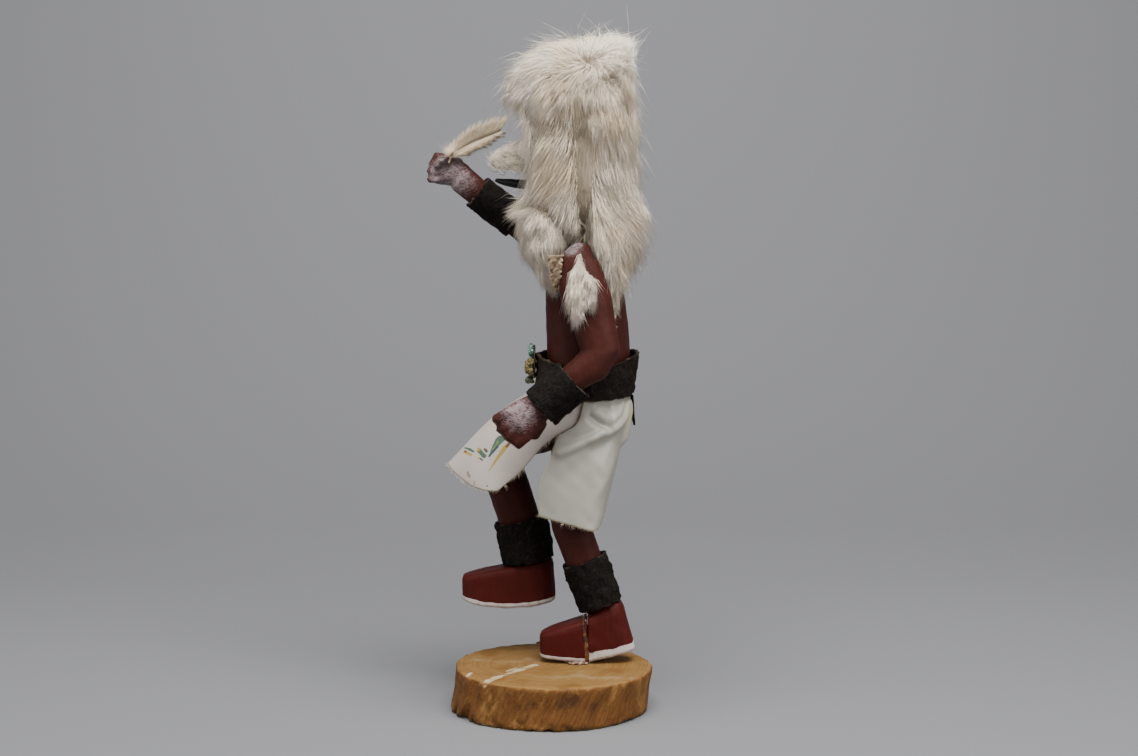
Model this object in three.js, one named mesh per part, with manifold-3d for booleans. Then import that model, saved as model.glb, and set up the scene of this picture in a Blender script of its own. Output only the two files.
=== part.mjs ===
// A carved and painted kachina doll in a dance pose, dressed in leather and fur,
// on a slab sawn from a branch. Millimetres, +Z up. The figure faces -Y and its left
// side is +X. The origin is the centre of the slab's underside.

import * as THREE from 'three';
import { mergeVertices } from 'three/addons/utils/BufferGeometryUtils.js';
import Module from 'manifold-3d';

const wasm = await Module();
wasm.setup();

// ---- Driving dimensions ----

const SLAB_RADIUS = 57.4;
const SLAB_HEIGHT = 25.4;
const SLAB_SLANT = 3;           // the underside is sawn this much further forward
const BODY_X = -24;             // the figure's own middle plane
const GAP = 0.35;               // clearance between neighbouring pieces
const LEATHER = 1.8;            // belt, cuffs and anklets
const SKIN = 1.2;               // the thin white leather of the apron and kilt

const LEG_LEFT_X = -11;
const LEG_RIGHT_X = -37;
const ANKLE_RADIUS = 9.8;
const FOOT_HALF_WIDTH = 11;
const FEATHER_X = -79.5;

const BELT = { y: 19.2, halfX: 27.2, halfY: 27.4 };
const BELT_TOP = 202;
const PLATE = 1.1;              // the buckle's back plate
const BELT_BOTTOM = 182;
const HEAD = { y: 10, radius: 23.5, bottom: 284, top: 366 };

// ---- Small helpers ----

const vec = (x, y, z) => new THREE.Vector3(x, y, z);
const mix = (a, b, t) => a + (b - a) * t;
const SIDE = vec(1, 0, 0);

// A value read off a list of evenly spaced values, with smooth steps between them.
function along(values, t) {
  const place = Math.min(Math.max(t, 0), 1) * (values.length - 1);
  const index = Math.min(Math.floor(place), values.length - 2);
  const local = place - index;
  return mix(values[index], values[index + 1], local * local * (3 - 2 * local));
}

function signedVolume(points, faces) {
  let sum = 0;
  for (const [a, b, c] of faces) {
    sum += points[a].dot(points[b].clone().cross(points[c]));
  }
  return sum / 6;
}

// Points and triangles become a solid, with its faces turned outwards.
function solidFrom(points, faces) {
  const flip = signedVolume(points, faces) < 0;
  const geometry = new THREE.BufferGeometry();
  const flat = points.flatMap((p) => [p.x, p.y, p.z]);
  geometry.setAttribute('position', new THREE.Float32BufferAttribute(flat, 3));
  geometry.setIndex(faces.flatMap(([a, b, c]) => (flip ? [a, c, b] : [a, b, c])));
  const merged = mergeVertices(geometry, 1e-4);
  return new wasm.Manifold(new wasm.Mesh({
    numProp: 3,
    vertProperties: new Float32Array(merged.attributes.position.array),
    triVerts: new Uint32Array(merged.index.array),
  }));
}

// A closed body through rings of equal length, with a flat fan over each end.
function skinOver(rings) {
  const sides = rings[0].length;
  const points = rings.flat();
  const faces = [];
  for (let r = 0; r + 1 < rings.length; r += 1) {
    for (let k = 0; k < sides; k += 1) {
      const a = r * sides + k;
      const b = r * sides + ((k + 1) % sides);
      faces.push([a, b, b + sides], [a, b + sides, a + sides]);
    }
  }
  const middle = (ring) => ring.reduce((m, p) => m.add(p), vec(0, 0, 0)).divideScalar(sides);
  const start = points.push(middle(rings[0])) - 1;
  const end = points.push(middle(rings[rings.length - 1])) - 1;
  const last = (rings.length - 1) * sides;
  for (let k = 0; k < sides; k += 1) {
    const next = (k + 1) % sides;
    faces.push([start, next, k], [end, last + k, last + next]);
  }
  return solidFrom(points, faces);
}

// One ring: a rounded box when square is large, an oval when it is 2.
function ring(centre, across, deep, halfAcross, halfDeep, sides, square = 2) {
  const points = [];
  for (let k = 0; k < sides; k += 1) {
    const angle = (2 * Math.PI * (k + 0.5)) / sides;
    const c = Math.cos(angle);
    const s = Math.sin(angle);
    const a = Math.sign(c) * Math.abs(c) ** (2 / square) * halfAcross;
    const d = Math.sign(s) * Math.abs(s) ** (2 / square) * halfDeep;
    points.push(centre.clone().addScaledVector(across, a).addScaledVector(deep, d));
  }
  return points;
}

// A carved limb: ovals strung on a smooth line. grow swells it on every side.
function limb(shape, grow = 0) {
  const { path, across, deep, rings, sides, square = 2.3, side = SIDE } = shape;
  const curve = new THREE.CatmullRomCurve3(path.map((p) => vec(...p)), false, 'centripetal');
  const sections = [];
  for (let r = 0; r <= rings; r += 1) {
    const t = r / rings;
    const tangent = curve.getTangent(t).normalize();
    const one = side.clone().addScaledVector(tangent, -side.dot(tangent)).normalize();
    const two = tangent.clone().cross(one);
    const end = r === 0 ? -grow : 0;
    const start = r === rings ? grow : 0;
    const centre = curve.getPoint(t).addScaledVector(tangent, start + end);
    const a = along(across, t) + grow;
    const d = along(deep, t) + grow;
    sections.push(ring(centre, one, two, a, d, sides, square));
  }
  return skinOver(sections);
}

// A body of level rings, each given by its height, front, back and half width.
function stack(levels, sides, options = {}) {
  const { x = BODY_X, grow = 0, square = 2.2, ripple = () => 0 } = options;
  const last = levels.length - 1;
  const sections = levels.map(([z, front, back, half], index) => {
    const lift = index === 0 ? -grow : index === last ? grow : 0;
    const direction = Math.sign(levels[last][0] - levels[0][0]);
    const centre = vec(x, (front + back) / 2, z + lift * direction);
    const points = ring(centre, SIDE, vec(0, 1, 0), half + grow, (back - front) / 2 + grow, sides, square);
    return points.map((p, k) => {
      const out = p.clone().sub(centre);
      const wave = ripple((2 * Math.PI * k) / sides, index / last);
      return centre.clone().addScaledVector(out, 1 + wave);
    });
  });
  return skinOver(sections);
}

// A closed strip that runs round: place(angle, height, offset) gives each corner.
function band(place, wall, turns, rows) {
  const points = [];
  const faces = [];
  const rim = 2 * (rows + 1);
  for (let k = 0; k < turns; k += 1) {
    const angle = (2 * Math.PI * k) / turns;
    for (let r = 0; r <= rows; r += 1) {
      points.push(place(angle, r / rows, wall));
    }
    for (let r = rows; r >= 0; r -= 1) {
      points.push(place(angle, r / rows, 0));
    }
  }
  for (let k = 0; k < turns; k += 1) {
    for (let r = 0; r < rim; r += 1) {
      const a = k * rim + r;
      const b = k * rim + ((r + 1) % rim);
      const c = ((k + 1) % turns) * rim + r;
      const d = ((k + 1) % turns) * rim + ((r + 1) % rim);
      faces.push([a, b, d], [a, d, c]);
    }
  }
  return solidFrom(points, faces);
}

// A wrapped cuff on a straight stretch of limb. Its leather doubles where the ends overlap.
function sleeve({ from, to, halfFrom, halfTo, overlap, side = SIDE }) {
  const start = vec(...from);
  const end = vec(...to);
  const tangent = end.clone().sub(start).normalize();
  const one = side.clone().addScaledVector(tangent, -side.dot(tangent)).normalize();
  const two = tangent.clone().cross(one);
  const place = (angle, height, offset) => {
    const doubled = Math.cos(angle - overlap) > 0.8 ? LEATHER : 0;
    const out = offset > 0 ? offset + doubled : 0;
    const a = mix(halfFrom[0], halfTo[0], height) + out;
    const d = mix(halfFrom[1], halfTo[1], height) + out;
    const centre = start.clone().lerp(end, height);
    return centre.addScaledVector(one, a * Math.cos(angle)).addScaledVector(two, d * Math.sin(angle));
  };
  return band(place, LEATHER, 16, 1);
}

// A sheet of leather over a patch: patch(down, round) gives its middle surface.
function leatherSheet(patch, rows, columns, thickness) {
  const step = 1e-3;
  const corner = (down, round, sign) => {
    const here = patch(down, round);
    const dDown = patch(down + step, round).sub(patch(down - step, round));
    const dRound = patch(down, round + step).sub(patch(down, round - step));
    const normal = dDown.cross(dRound).normalize();
    return here.addScaledVector(normal, (sign * thickness) / 2);
  };
  const points = [];
  for (const sign of [-1, 1]) {
    for (let r = 0; r <= rows; r += 1) {
      for (let c = 0; c <= columns; c += 1) {
        points.push(corner(r / rows, c / columns, sign));
      }
    }
  }
  const width = columns + 1;
  const half = width * (rows + 1);
  const faces = [];
  for (let r = 0; r < rows; r += 1) {
    for (let c = 0; c < columns; c += 1) {
      const a = r * width + c;
      faces.push([a, a + width, a + width + 1], [a, a + width + 1, a + 1]);
      const b = half + a;
      faces.push([b, b + width + 1, b + width], [b, b + 1, b + width + 1]);
    }
  }
  const edge = [];
  for (let c = 0; c < columns; c += 1) {
    edge.push([c, c + 1], [rows * width + c + 1, rows * width + c]);
  }
  for (let r = 0; r < rows; r += 1) {
    edge.push([(r + 1) * width, r * width], [r * width + columns, (r + 1) * width + columns]);
  }
  for (const [a, b] of edge) {
    faces.push([a, b, half + b], [a, half + b, half + a]);
  }
  return solidFrom(points, faces);
}

const spline = (points) => new THREE.CatmullRomCurve3(points.map((p) => vec(...p)), false, 'centripetal');

function cut(body, ...others) {
  return others.reduce((rest, other) => rest.subtract(other), body);
}

// Keeps the largest lump when a cut leaves crumbs behind.
function mainLump(body) {
  const lumps = body.decompose();
  return lumps.reduce((best, lump) => (lump.volume() > best.volume() ? lump : best));
}

const group = new THREE.Group();
group.name = 'kachina_doll';

function add(name, body, color, roughness, metalness = 0) {
  const mesh = mainLump(body).getMesh();
  const geometry = new THREE.BufferGeometry();
  geometry.setAttribute('position', new THREE.BufferAttribute(new Float32Array(mesh.vertProperties), 3));
  geometry.setIndex(new THREE.BufferAttribute(new Uint32Array(mesh.triVerts), 1));
  geometry.computeVertexNormals();
  const item = new THREE.Mesh(geometry, new THREE.MeshStandardMaterial({ color, roughness, metalness }));
  item.name = name;
  group.add(item);
}

// ---- The slab ----

// The sawn slab is a little out of round, with two drying cracks in its edge.
function slab() {
  const edge = (angle) => 1 + 0.012 * Math.sin(2 * angle + 0.6) + 0.008 * Math.sin(5 * angle);
  const turns = 32;
  const level = (z, radius, forward) => {
    const points = [];
    for (let k = 0; k < turns; k += 1) {
      const angle = (2 * Math.PI * k) / turns;
      const r = radius * edge(angle);
      points.push(vec(r * Math.cos(angle), r * Math.sin(angle) - forward, z));
    }
    return points;
  };
  const chamfer = 1.2;
  const body = skinOver([
    level(0, SLAB_RADIUS - chamfer, SLAB_SLANT),
    level(chamfer, SLAB_RADIUS, SLAB_SLANT),
    level(SLAB_HEIGHT / 2, SLAB_RADIUS - 0.8, SLAB_SLANT / 2),
    level(SLAB_HEIGHT - chamfer, SLAB_RADIUS, 0),
    level(SLAB_HEIGHT, SLAB_RADIUS - chamfer, 0),
  ]);
  return cut(body, crack(-61, -74, 3, 11), crack(-42, -52, 2.4, 15), chip(-58));
}

// A wedge that opens at the rim and runs in towards the heart of the wood. It leans,
// so the top and the bottom are at two angles round the slab.
function crack(degreesTop, degreesBottom, mouth, depth) {
  const outer = SLAB_RADIUS + 8;
  const tip = SLAB_RADIUS - depth;
  const level = (degrees, z) => {
    const angle = THREE.MathUtils.degToRad(degrees);
    const out = vec(Math.cos(angle), Math.sin(angle), 0);
    const across = vec(-out.y, out.x, 0);
    return [
      out.clone().multiplyScalar(tip).setZ(z),
      out.clone().multiplyScalar(outer).addScaledVector(across, -mouth).setZ(z),
      out.clone().multiplyScalar(outer).addScaledVector(across, mouth).setZ(z),
    ];
  };
  return skinOver([level(degreesBottom, -1), level(degreesTop, SLAB_HEIGHT + 1)]);
}

// The piece of rim that has broken away low down between the cracks.
function chip(degrees) {
  const angle = THREE.MathUtils.degToRad(degrees);
  const at = (across, z) => {
    const x = SLAB_RADIUS * Math.cos(angle) - across * Math.sin(angle);
    const y = SLAB_RADIUS * Math.sin(angle) + across * Math.cos(angle) - SLAB_SLANT / 2;
    return [x, y, z];
  };
  const path = [at(-6, -2), at(0, 3), at(5, 12)];
  return limb({ path, across: [3, 4.5, 0.6], deep: [3, 3.4, 0.6], rings: 3, sides: 8 });
}

// ---- The carved figure ----

// Each level: height, front, back and half width.
function torso(grow = 0) {
  const levels = [
    [159, 2, 37, 18],
    [168, -1, 39.5, 20.2],
    [184, -2.6, 41, 21.4],
    [204, -3.8, 44.9, 23],
    [223, -4.6, 43.3, 22.5],
    [239, -4.8, 41, 23.5],
    [254, -2.5, 36, 23.5],
    [264, 1, 30, 19],
    [271, 3, 23, 12],
    [292, 4, 20, 8.5],
  ];
  return stack(levels, 16, { grow, square: 2.3 });
}

function head(grow = 0) {
  const { y, radius, bottom, top } = HEAD;
  const swell = [0.62, 0.9, 1, 1.02, 1, 0.94, 0.72, 0.34];
  const levels = swell.map((part, index) => {
    const z = mix(bottom, top, index / (swell.length - 1));
    return [z, y - radius * part, y + radius * part, radius * part];
  });
  return stack(levels, 14, { grow });
}

// The animal's snout, tapering to a rounded nose.
function muzzle(grow = 0) {
  return limb({
    path: [[BODY_X, -6, 316.5], [BODY_X, -20, 315.5], [BODY_X, -30, 313], [BODY_X, -34, 311.5]],
    across: [12, 10.5, 8, 4.5],
    deep: [11, 9.6, 6.4, 3.4],
    rings: 6,
    sides: 10,
  }, grow);
}

function lowerJaw(grow = 0) {
  return limb({
    path: [[BODY_X, -6, 301], [BODY_X, -20, 301.2], [BODY_X, -29, 302.6], [BODY_X, -33.4, 303.8]],
    across: [7.5, 6.6, 5.6, 3],
    deep: [3.2, 2.7, 2, 1],
    rings: 5,
    sides: 10,
  }, grow);
}

const LEFT_ARM = {
  path: [[8, 13.6, 269.5], [9, 14.5, 258], [11, 18.5, 239], [13.5, 24.6, 219], [16, 26.4, 206],
    [17, 11.2, 193.8], [17, -7.3, 177.6], [17, -12, 173.6]],
  across: [6.5, 9.6, 11, 10, 9.4, 8.4, 7.6, 7],
  deep: [7.5, 12, 15, 11.8, 11.2, 8.6, 8, 8],
  rings: 13,
  sides: 12,
};

const RIGHT_ARM = {
  path: [[-44, 15, 258], [-58, 12, 261], [-76, 3, 262.5], [-91, -7.5, 264],
    [-91, -22.5, 275.5], [-88, -46.5, 294], [-87.5, -56, 302]],
  across: [10.5, 11.5, 10, 9.6, 8.6, 8, 8.4],
  deep: [13, 13, 11, 10.4, 8.4, 8, 8.4],
  rings: 11,
  sides: 12,
  side: vec(0.35, 0.2, 0.9).normalize(),
};

// A closed fist on a wrist: a palm, four fingers that curl under, and a thumb.
function fist({ wrist, reach, curl, size }, grow = 0) {
  const ahead = vec(...reach).normalize();
  const palmward = vec(...curl).normalize();
  const row = ahead.clone().cross(palmward).normalize();
  const at = (a, r, p) => {
    const point = vec(...wrist).addScaledVector(ahead, a * size);
    return point.addScaledVector(row, r * size).addScaledVector(palmward, p * size).toArray();
  };
  const palm = limb({
    path: [at(-3, 0, 0), at(5, 0, 0), at(13, 0, -0.5), at(20, 0, 0)],
    across: [6.5, 7.2, 7, 4.5].map((v) => v * size),
    deep: [7.6, 10, 11.4, 9.6].map((v) => v * size),
    rings: 3,
    sides: 9,
    side: palmward,
  }, grow);
  let hand = palm;
  for (let finger = 0; finger < 4; finger += 1) {
    const r = mix(-8.4, 8.4, finger / 3);
    const length = 25.5 - 1.6 * Math.abs(finger - 1.4);
    const bent = limb({
      path: [at(13, r, -3.6), at(length - 3, r, -3.2), at(length - 1.5, r, 3), at(15, r, 6.4)],
      across: [3.2, 3.3, 3.2, 2.4].map((v) => v * size),
      deep: [3, 3.3, 3.3, 2.4].map((v) => v * size),
      rings: 3,
      sides: 5,
      side: row,
    }, grow);
    hand = hand.add(bent);
  }
  const thumb = limb({
    path: [at(3, 7.5, 3), at(11, 11, 6), at(18, 6, 9.5), at(20, 0, 9)],
    across: [3.6, 3.6, 3.2, 2].map((v) => v * size),
    deep: [3.6, 3.6, 3.2, 2].map((v) => v * size),
    rings: 3,
    sides: 5,
    side: ahead,
  }, grow);
  return hand.add(thumb);
}

const LEFT_FIST = { wrist: [17, -8.5, 177.6], reach: [0, -0.775, -0.632], curl: [-1, 0, 0], size: 1.06 };
const RIGHT_FIST = { wrist: [-87.5, -54.5, 304], reach: [0.02, -0.97, 0.24], curl: [1, 0, 0], size: 0.84 };

const leftArm = (grow = 0) => limb(LEFT_ARM, grow).add(fist(LEFT_FIST, grow));
const rightArm = (grow = 0) => limb(RIGHT_ARM, grow).add(fist(RIGHT_FIST, grow));

function leftLeg(grow = 0) {
  return limb({
    path: [[-12.5, 19, 172], [-12, 14.5, 150], [-11.5, 9, 127], [LEG_LEFT_X, 10.5, 105],
      [LEG_LEFT_X, 17.6, 85], [LEG_LEFT_X, 27.5, 58.5], [LEG_LEFT_X, 30.5, 50.5]],
    across: [11, 13.5, 12.4, 11.6, 10.6, ANKLE_RADIUS, ANKLE_RADIUS],
    deep: [17, 15.5, 12.6, 11.7, 10.8, ANKLE_RADIUS, ANKLE_RADIUS],
    rings: 10,
    sides: 12,
  }, grow);
}

function rightLeg(grow = 0) {
  return limb({
    path: [[-34, 14, 166], [-35.5, -6, 157.5], [LEG_RIGHT_X, -26, 149.5], [LEG_RIGHT_X, -31, 139],
      [LEG_RIGHT_X, -26.6, 124], [LEG_RIGHT_X, -20, 103.2], [LEG_RIGHT_X, -15, 79.5], [LEG_RIGHT_X, -13, 71]],
    across: [13, 12.6, 12, 12, 11.6, 10.4, ANKLE_RADIUS, ANKLE_RADIUS],
    deep: [15, 13.6, 11.6, 12.2, 12.6, 12.4, 12, 11.6],
    rings: 12,
    sides: 12,
  }, grow);
}

// A boot block with a flat end where it is glued and a round end at the toe or heel.
// sole and top each give the height at the flat end and at the round end.
function halfBoot({ flat, round, sole, top, halfWidth, lean = 0, x = LEG_LEFT_X }, grow = 0) {
  const turns = 12;
  const level = (inset, height) => {
    const points = [];
    for (let k = 0; k <= turns; k += 1) {
      const angle = (Math.PI * k) / turns;
      const c = Math.cos(angle);
      const a = Math.sign(c) * Math.abs(c) ** 0.55 * (halfWidth - inset + grow);
      const reach = Math.max(Math.sin(angle), 0) ** 0.55;
      const forward = Math.sign(round - flat);
      const low = mix(sole[0], sole[1], reach);
      const high = mix(top[0], top[1], reach);
      const y = flat - forward * grow + (round - flat + forward * (grow - inset)) * reach;
      const z = mix(low - grow, high + grow, height);
      points.push(vec(x + a, y + lean * height * reach, z));
    }
    return points;
  };
  return skinOver([level(1.2, 0), level(0, 0.05), level(0, 0.82), level(0.8, 0.94), level(2.6, 1)]);
}

const TOE = { flat: 19.5, round: -8, sole: [25.8, 28], top: [51.5, 43], halfWidth: FOOT_HALF_WIDTH };
const HEEL = {
  flat: 19.9, round: 48, sole: [26.1, 32.2], top: [52, 62.6], halfWidth: FOOT_HALF_WIDTH, lean: -8.5,
};

const leftHeel = (grow = 0) => halfBoot(HEEL, grow);
const leftToe = (grow = 0) => halfBoot(TOE, grow);

// The raised foot is one block with a rocking sole.
function rightFoot(grow = 0) {
  const centre = -26.2;
  const half = 27.8;
  const turns = 18;
  const level = (inset, height) => {
    const points = [];
    for (let k = 0; k < turns; k += 1) {
      const angle = (2 * Math.PI * k) / turns;
      const c = Math.cos(angle);
      const s = Math.sin(angle);
      const a = Math.sign(c) * Math.abs(c) ** 0.62 * (FOOT_HALF_WIDTH - inset + grow);
      const part = Math.sign(s) * Math.abs(s) ** 0.62;
      const low = 52.2 + 3.6 * part * part - grow;
      const high = mix(71.5, 81.8, (part + 1) / 2) + grow;
      const y = centre + part * (half - inset + grow) - 1.6 * height * Math.max(part, 0);
      points.push(vec(LEG_RIGHT_X + a, y, mix(low, high, height)));
    }
    return points;
  };
  return skinOver([level(1.4, 0), level(0, 0.06), level(0, 0.84), level(0.8, 0.95), level(2.6, 1)]);
}

// ---- Leather ----

function beltPoint(angle, out, z) {
  const x = BODY_X + (BELT.halfX + out) * Math.cos(angle);
  const y = BELT.y + (BELT.halfY + out) * Math.sin(angle);
  return vec(x, y, z);
}

// The belt dips under the arm at the figure's left and flares at the back.
function belt() {
  const place = (angle, height, offset) => {
    const dip = 5 * Math.max(Math.cos(angle), 0) ** 2;
    const back = Math.max(Math.sin(angle), 0);
    const front = Math.max(-Math.sin(angle), 0);
    const top = BELT_TOP + 1.6 * front + 2.4 * back - dip;
    const bottom = BELT_BOTTOM + 3.6 * front - 1.4 * back - dip / 2;
    return beltPoint(angle, offset + back * (height * 3.4 - 1.8), mix(bottom, top, height));
  };
  return band(place, LEATHER, 30, 1);
}

function beltTail() {
  return limb({
    path: [[BODY_X + 3, 45.4, 180], [BODY_X + 3, 45.5, 176], [BODY_X + 4, 46, 170], [BODY_X + 5, 46.8, 162]],
    across: [4, 4, 3.4, 2.4],
    deep: [0.5, 0.5, 0.5, 0.5],
    rings: 5,
    sides: 8,
    square: 5,
    side: vec(0.98, 0.2, 0),
  });
}

// The buckle: an oval plate that stands against the front of the belt.
function buckle() {
  const y = BELT.y - BELT.halfY - LEATHER;
  return limb({
    path: [[BODY_X, y - GAP, 198.8], [BODY_X, y - PLATE / 2 - GAP, 198.8], [BODY_X, y - PLATE - GAP, 198.8]],
    across: [9.2, 9.6, 8.8],
    deep: [9.6, 10, 9.2],
    rings: 2,
    sides: 20,
    square: 2,
  });
}

// One chip of stone, pillow shaped, set on the plate.
function stone(x, z, halfX, halfZ, rise) {
  const y = BELT.y - BELT.halfY - LEATHER - PLATE - 2 * GAP;
  return limb({
    path: [[x, y, z], [x, y - rise * 0.6, z], [x, y - rise, z]],
    across: [halfX, halfX * 0.94, halfX * 0.5],
    deep: [halfZ, halfZ * 0.94, halfZ * 0.5],
    rings: 3,
    sides: 9,
    square: 2.6,
  });
}

// A patch between a top curve and a hem, with the two side edges bowed as given.
function dressPatch(top, hem, nearEdge, farEdge, bulge) {
  const bow = (edge, down) => {
    const straight = edge.getPoint(0).lerp(edge.getPoint(1), down);
    return edge.getPoint(down).sub(straight);
  };
  const clamp = (v) => Math.min(Math.max(v, 0), 1);
  return (down, round) => {
    const d = clamp(down);
    const r = clamp(round);
    const point = top(r).lerp(hem(r), d);
    point.addScaledVector(bow(nearEdge, d), (1 - r) ** 3);
    point.addScaledVector(bow(farEdge, d), r ** 3);
    const slip = vec(0, 0, -1).multiplyScalar((down - d) * 50);
    const swing = top(1).sub(top(0)).multiplyScalar(round - r);
    return point.add(bulge(d, r)).add(slip).add(swing);
  };
}

const RIDGE = 0.62;             // where the apron's ridge lies between its two side edges

// The apron hangs from the front of the belt and is thrown over the raised knee.
function apron() {
  const quarter = Math.PI / 2;
  const ridgeTop = vec(-41, -8.4, 182.6);
  const ridge = spline([ridgeTop.toArray(), [-41, -34, 164.5], [-42, -62, 135.8]]);
  const nearTop = vec(-1.5, 17.2, 177.4);
  const near = spline([nearTop.toArray(), [0.6, 13, 165.5], [-0.8, 1.6, 158.4], [-3.5, -5.9, 152.4], [-7, -19, 137],
    [-8, -32.4, 125.5]]);
  const farTop = vec(-47.6, 5, 182);
  const far = spline([farTop.toArray(), [-55, -20, 158], [-60, -38, 128]]);
  const patch = (down, round) => {
    const d = Math.min(Math.max(down, 0), 1);
    const centre = ridge.getPoint(d);
    const reach = Math.min(Math.abs(round - RIDGE) / (round < RIDGE ? RIDGE : 1 - RIDGE), 1);
    const edge = (round < RIDGE ? near : far).getPoint(d);
    const swing = reach * quarter;
    const x = mix(centre.x, edge.x, Math.sin(swing));
    const fall = 1 - Math.cos(swing);
    const corner = round < RIDGE ? 6 * d ** 6 * Math.sin(2 * swing) : 0;
    return vec(x, mix(centre.y, edge.y, fall) + corner, mix(centre.z, edge.z, fall) - corner);
  };
  return leatherSheet(patch, 7, 10, SKIN);
}

// The kilt wraps round the left side, the back and the right side.
function kilt() {
  const ellipse = (angle) => {
    const back = Math.max(Math.sin(angle), 0);
    return beltPoint(angle, -2.6 - back, mix(178.6, 180.2, back));
  };
  const top = (r) => ellipse(mix(-0.02, 1.02, r) * Math.PI);
  const hemLine = spline([[5, -8, 113], [9, 10, 108.5], [8, 27, 104.7], [-6, 32, 110], [-30, 32, 116],
    [-52, 25, 118], [-57, 8, 121]]);
  const hem = (r) => hemLine.getPoint(r);
  const near = spline([top(0).toArray(), [3.4, 13.4, 166], [3.2, 2.8, 158.5], [4, -1, 148], [5, -8.2, 129],
    hem(0).toArray()]);
  const far = spline([top(1).toArray(), [-56, 12, 155], [-58, 6, 135], hem(1).toArray()]);
  const bulge = (d, r) => {
    const out = Math.sin(Math.PI * d) * Math.sin(Math.PI * r);
    const angle = mix(-0.02, 1.02, r) * Math.PI;
    return vec(Math.cos(angle), Math.sin(angle), 0).multiplyScalar(3 * out);
  };
  return leatherSheet(dressPatch(top, hem, near, far, bulge), 7, 16, SKIN);
}

// ---- Fur ----

// Locks run down a pelt as shallow ridges that wander a little.
const locks = (count, depth) => (angle, down) => {
  const wander = 0.6 * Math.sin(3 * angle + 4 * down) + 1.4 * down;
  return depth * Math.sin(count * angle + wander) * (0.4 + 0.6 * down);
};

// The pelt over the head: a deep crown, then a curtain down to the shoulder blades.
function pelt(grow = 0) {
  const levels = [
    [388, 12, 40, 13],
    [382, -12, 47, 27],
    [370, -26, 49, 35],
    [353, -31, 50, 39.5],
    [341, -24, 49.5, 38],
    [322, -21, 48.5, 36],
    [302, -21, 49, 36],
    [290, -10, 50.5, 37],
    [274, 5, 51.5, 38],
    [256, 18, 50.5, 37],
    [240, 26, 48, 34],
    [228, 30, 45, 27],
    [219.6, 33, 41, 16],
  ];
  return stack(levels, 26, { grow, ripple: locks(8, 0.06) });
}

// The ruff: a collar of fur across the throat and chest.
function ruff(grow = 0) {
  const levels = [
    [300, -13, 8, 18],
    [295, -19, 12, 28],
    [284, -23, 15, 34],
    [267, -22, 16, 33.5],
    [253, -14, 12, 29],
    [246, -7.5, 8, 24],
    [240, -2, 5, 17],
  ];
  return stack(levels, 20, { grow, ripple: locks(6, 0.05) });
}

// The tunnel in the fur that the face looks out of.
function faceOpening() {
  return limb({
    path: [[BODY_X, -60, 322], [BODY_X, -30, 322], [BODY_X, HEAD.y, 322]],
    across: [19.5, 18.6, 17],
    deep: [23, 21, 20],
    rings: 2,
    sides: 16,
    square: 2.4,
  });
}

function shoulderTuft() {
  return limb({
    path: [[17.5, 15.5, 266], [20.5, 15, 257], [23.5, 17, 246], [25, 15, 236], [25, 13, 229]],
    across: [2, 4, 4.6, 3.6, 1],
    deep: [2.4, 5, 9, 6.4, 1.2],
    rings: 7,
    sides: 10,
  });
}

// The torn edge of raw hide that shows under the ruff at the left armpit.
function collarHide() {
  return limb({
    path: [[12, 1.4, 266], [11.5, 0.2, 258], [10, 0.6, 250], [8.5, 2.4, 244]],
    across: [0.8, 0.8, 0.8, 0.8],
    deep: [4.2, 4.4, 3.6, 2],
    rings: 6,
    sides: 8,
    square: 4,
    side: vec(0.5, -0.86, 0),
  });
}

// The plume held in the raised fist, a bent leaf with its quill in the hand.
function feather() {
  return limb({
    path: [[FEATHER_X, -63, 311], [FEATHER_X, -60.3, 315.5], [FEATHER_X, -53, 321.5], [FEATHER_X, -45, 326.5],
      [FEATHER_X, -37.5, 331.5], [FEATHER_X, -30, 338]],
    across: [0.7, 0.7, 0.7, 0.7, 0.7, 0.5],
    deep: [0.8, 2, 8, 9, 7.4, 1.6],
    rings: 9,
    sides: 8,
    square: 3,
  });
}

// ---- Put together ----

const MAROON = 0x3f2320;
const BOOT_RED = 0x481a18;
const DARK_LEATHER = 0x211c19;
const WHITE_LEATHER = 0xa9a6a0;
const FUR = 0xd9cfc2;

const bodyCutter = torso(GAP);
const leftArmCutter = leftArm(GAP);
const rightArmCutter = rightArm(GAP);
const headCutter = head(GAP);
const muzzleCutter = muzzle(GAP);
const jawCutter = lowerJaw(GAP);

add('base_slab', slab(), 0x9a713f, 0.8);
add('torso', torso(), MAROON, 0.6);
add('head', cut(head(), bodyCutter), MAROON, 0.7);
add('muzzle', cut(muzzle(), headCutter), FUR, 0.9);
add('lower_jaw', cut(lowerJaw(), headCutter, muzzleCutter), 0x0b0a0a, 0.5);
add('left_arm', cut(leftArm(), bodyCutter), MAROON, 0.6);
add('right_arm', cut(rightArm(), bodyCutter), MAROON, 0.6);
add('left_leg', cut(leftLeg(), bodyCutter, leftHeel(GAP), leftToe(GAP)), MAROON, 0.6);
add('right_leg', cut(rightLeg(), bodyCutter, leftLeg(GAP), rightFoot(GAP)), MAROON, 0.6);
add('left_foot_heel', leftHeel(), BOOT_RED, 0.5);
add('left_foot_toe', cut(leftToe(), leftHeel(GAP)), BOOT_RED, 0.5);
add('right_foot', rightFoot(), BOOT_RED, 0.5);

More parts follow.
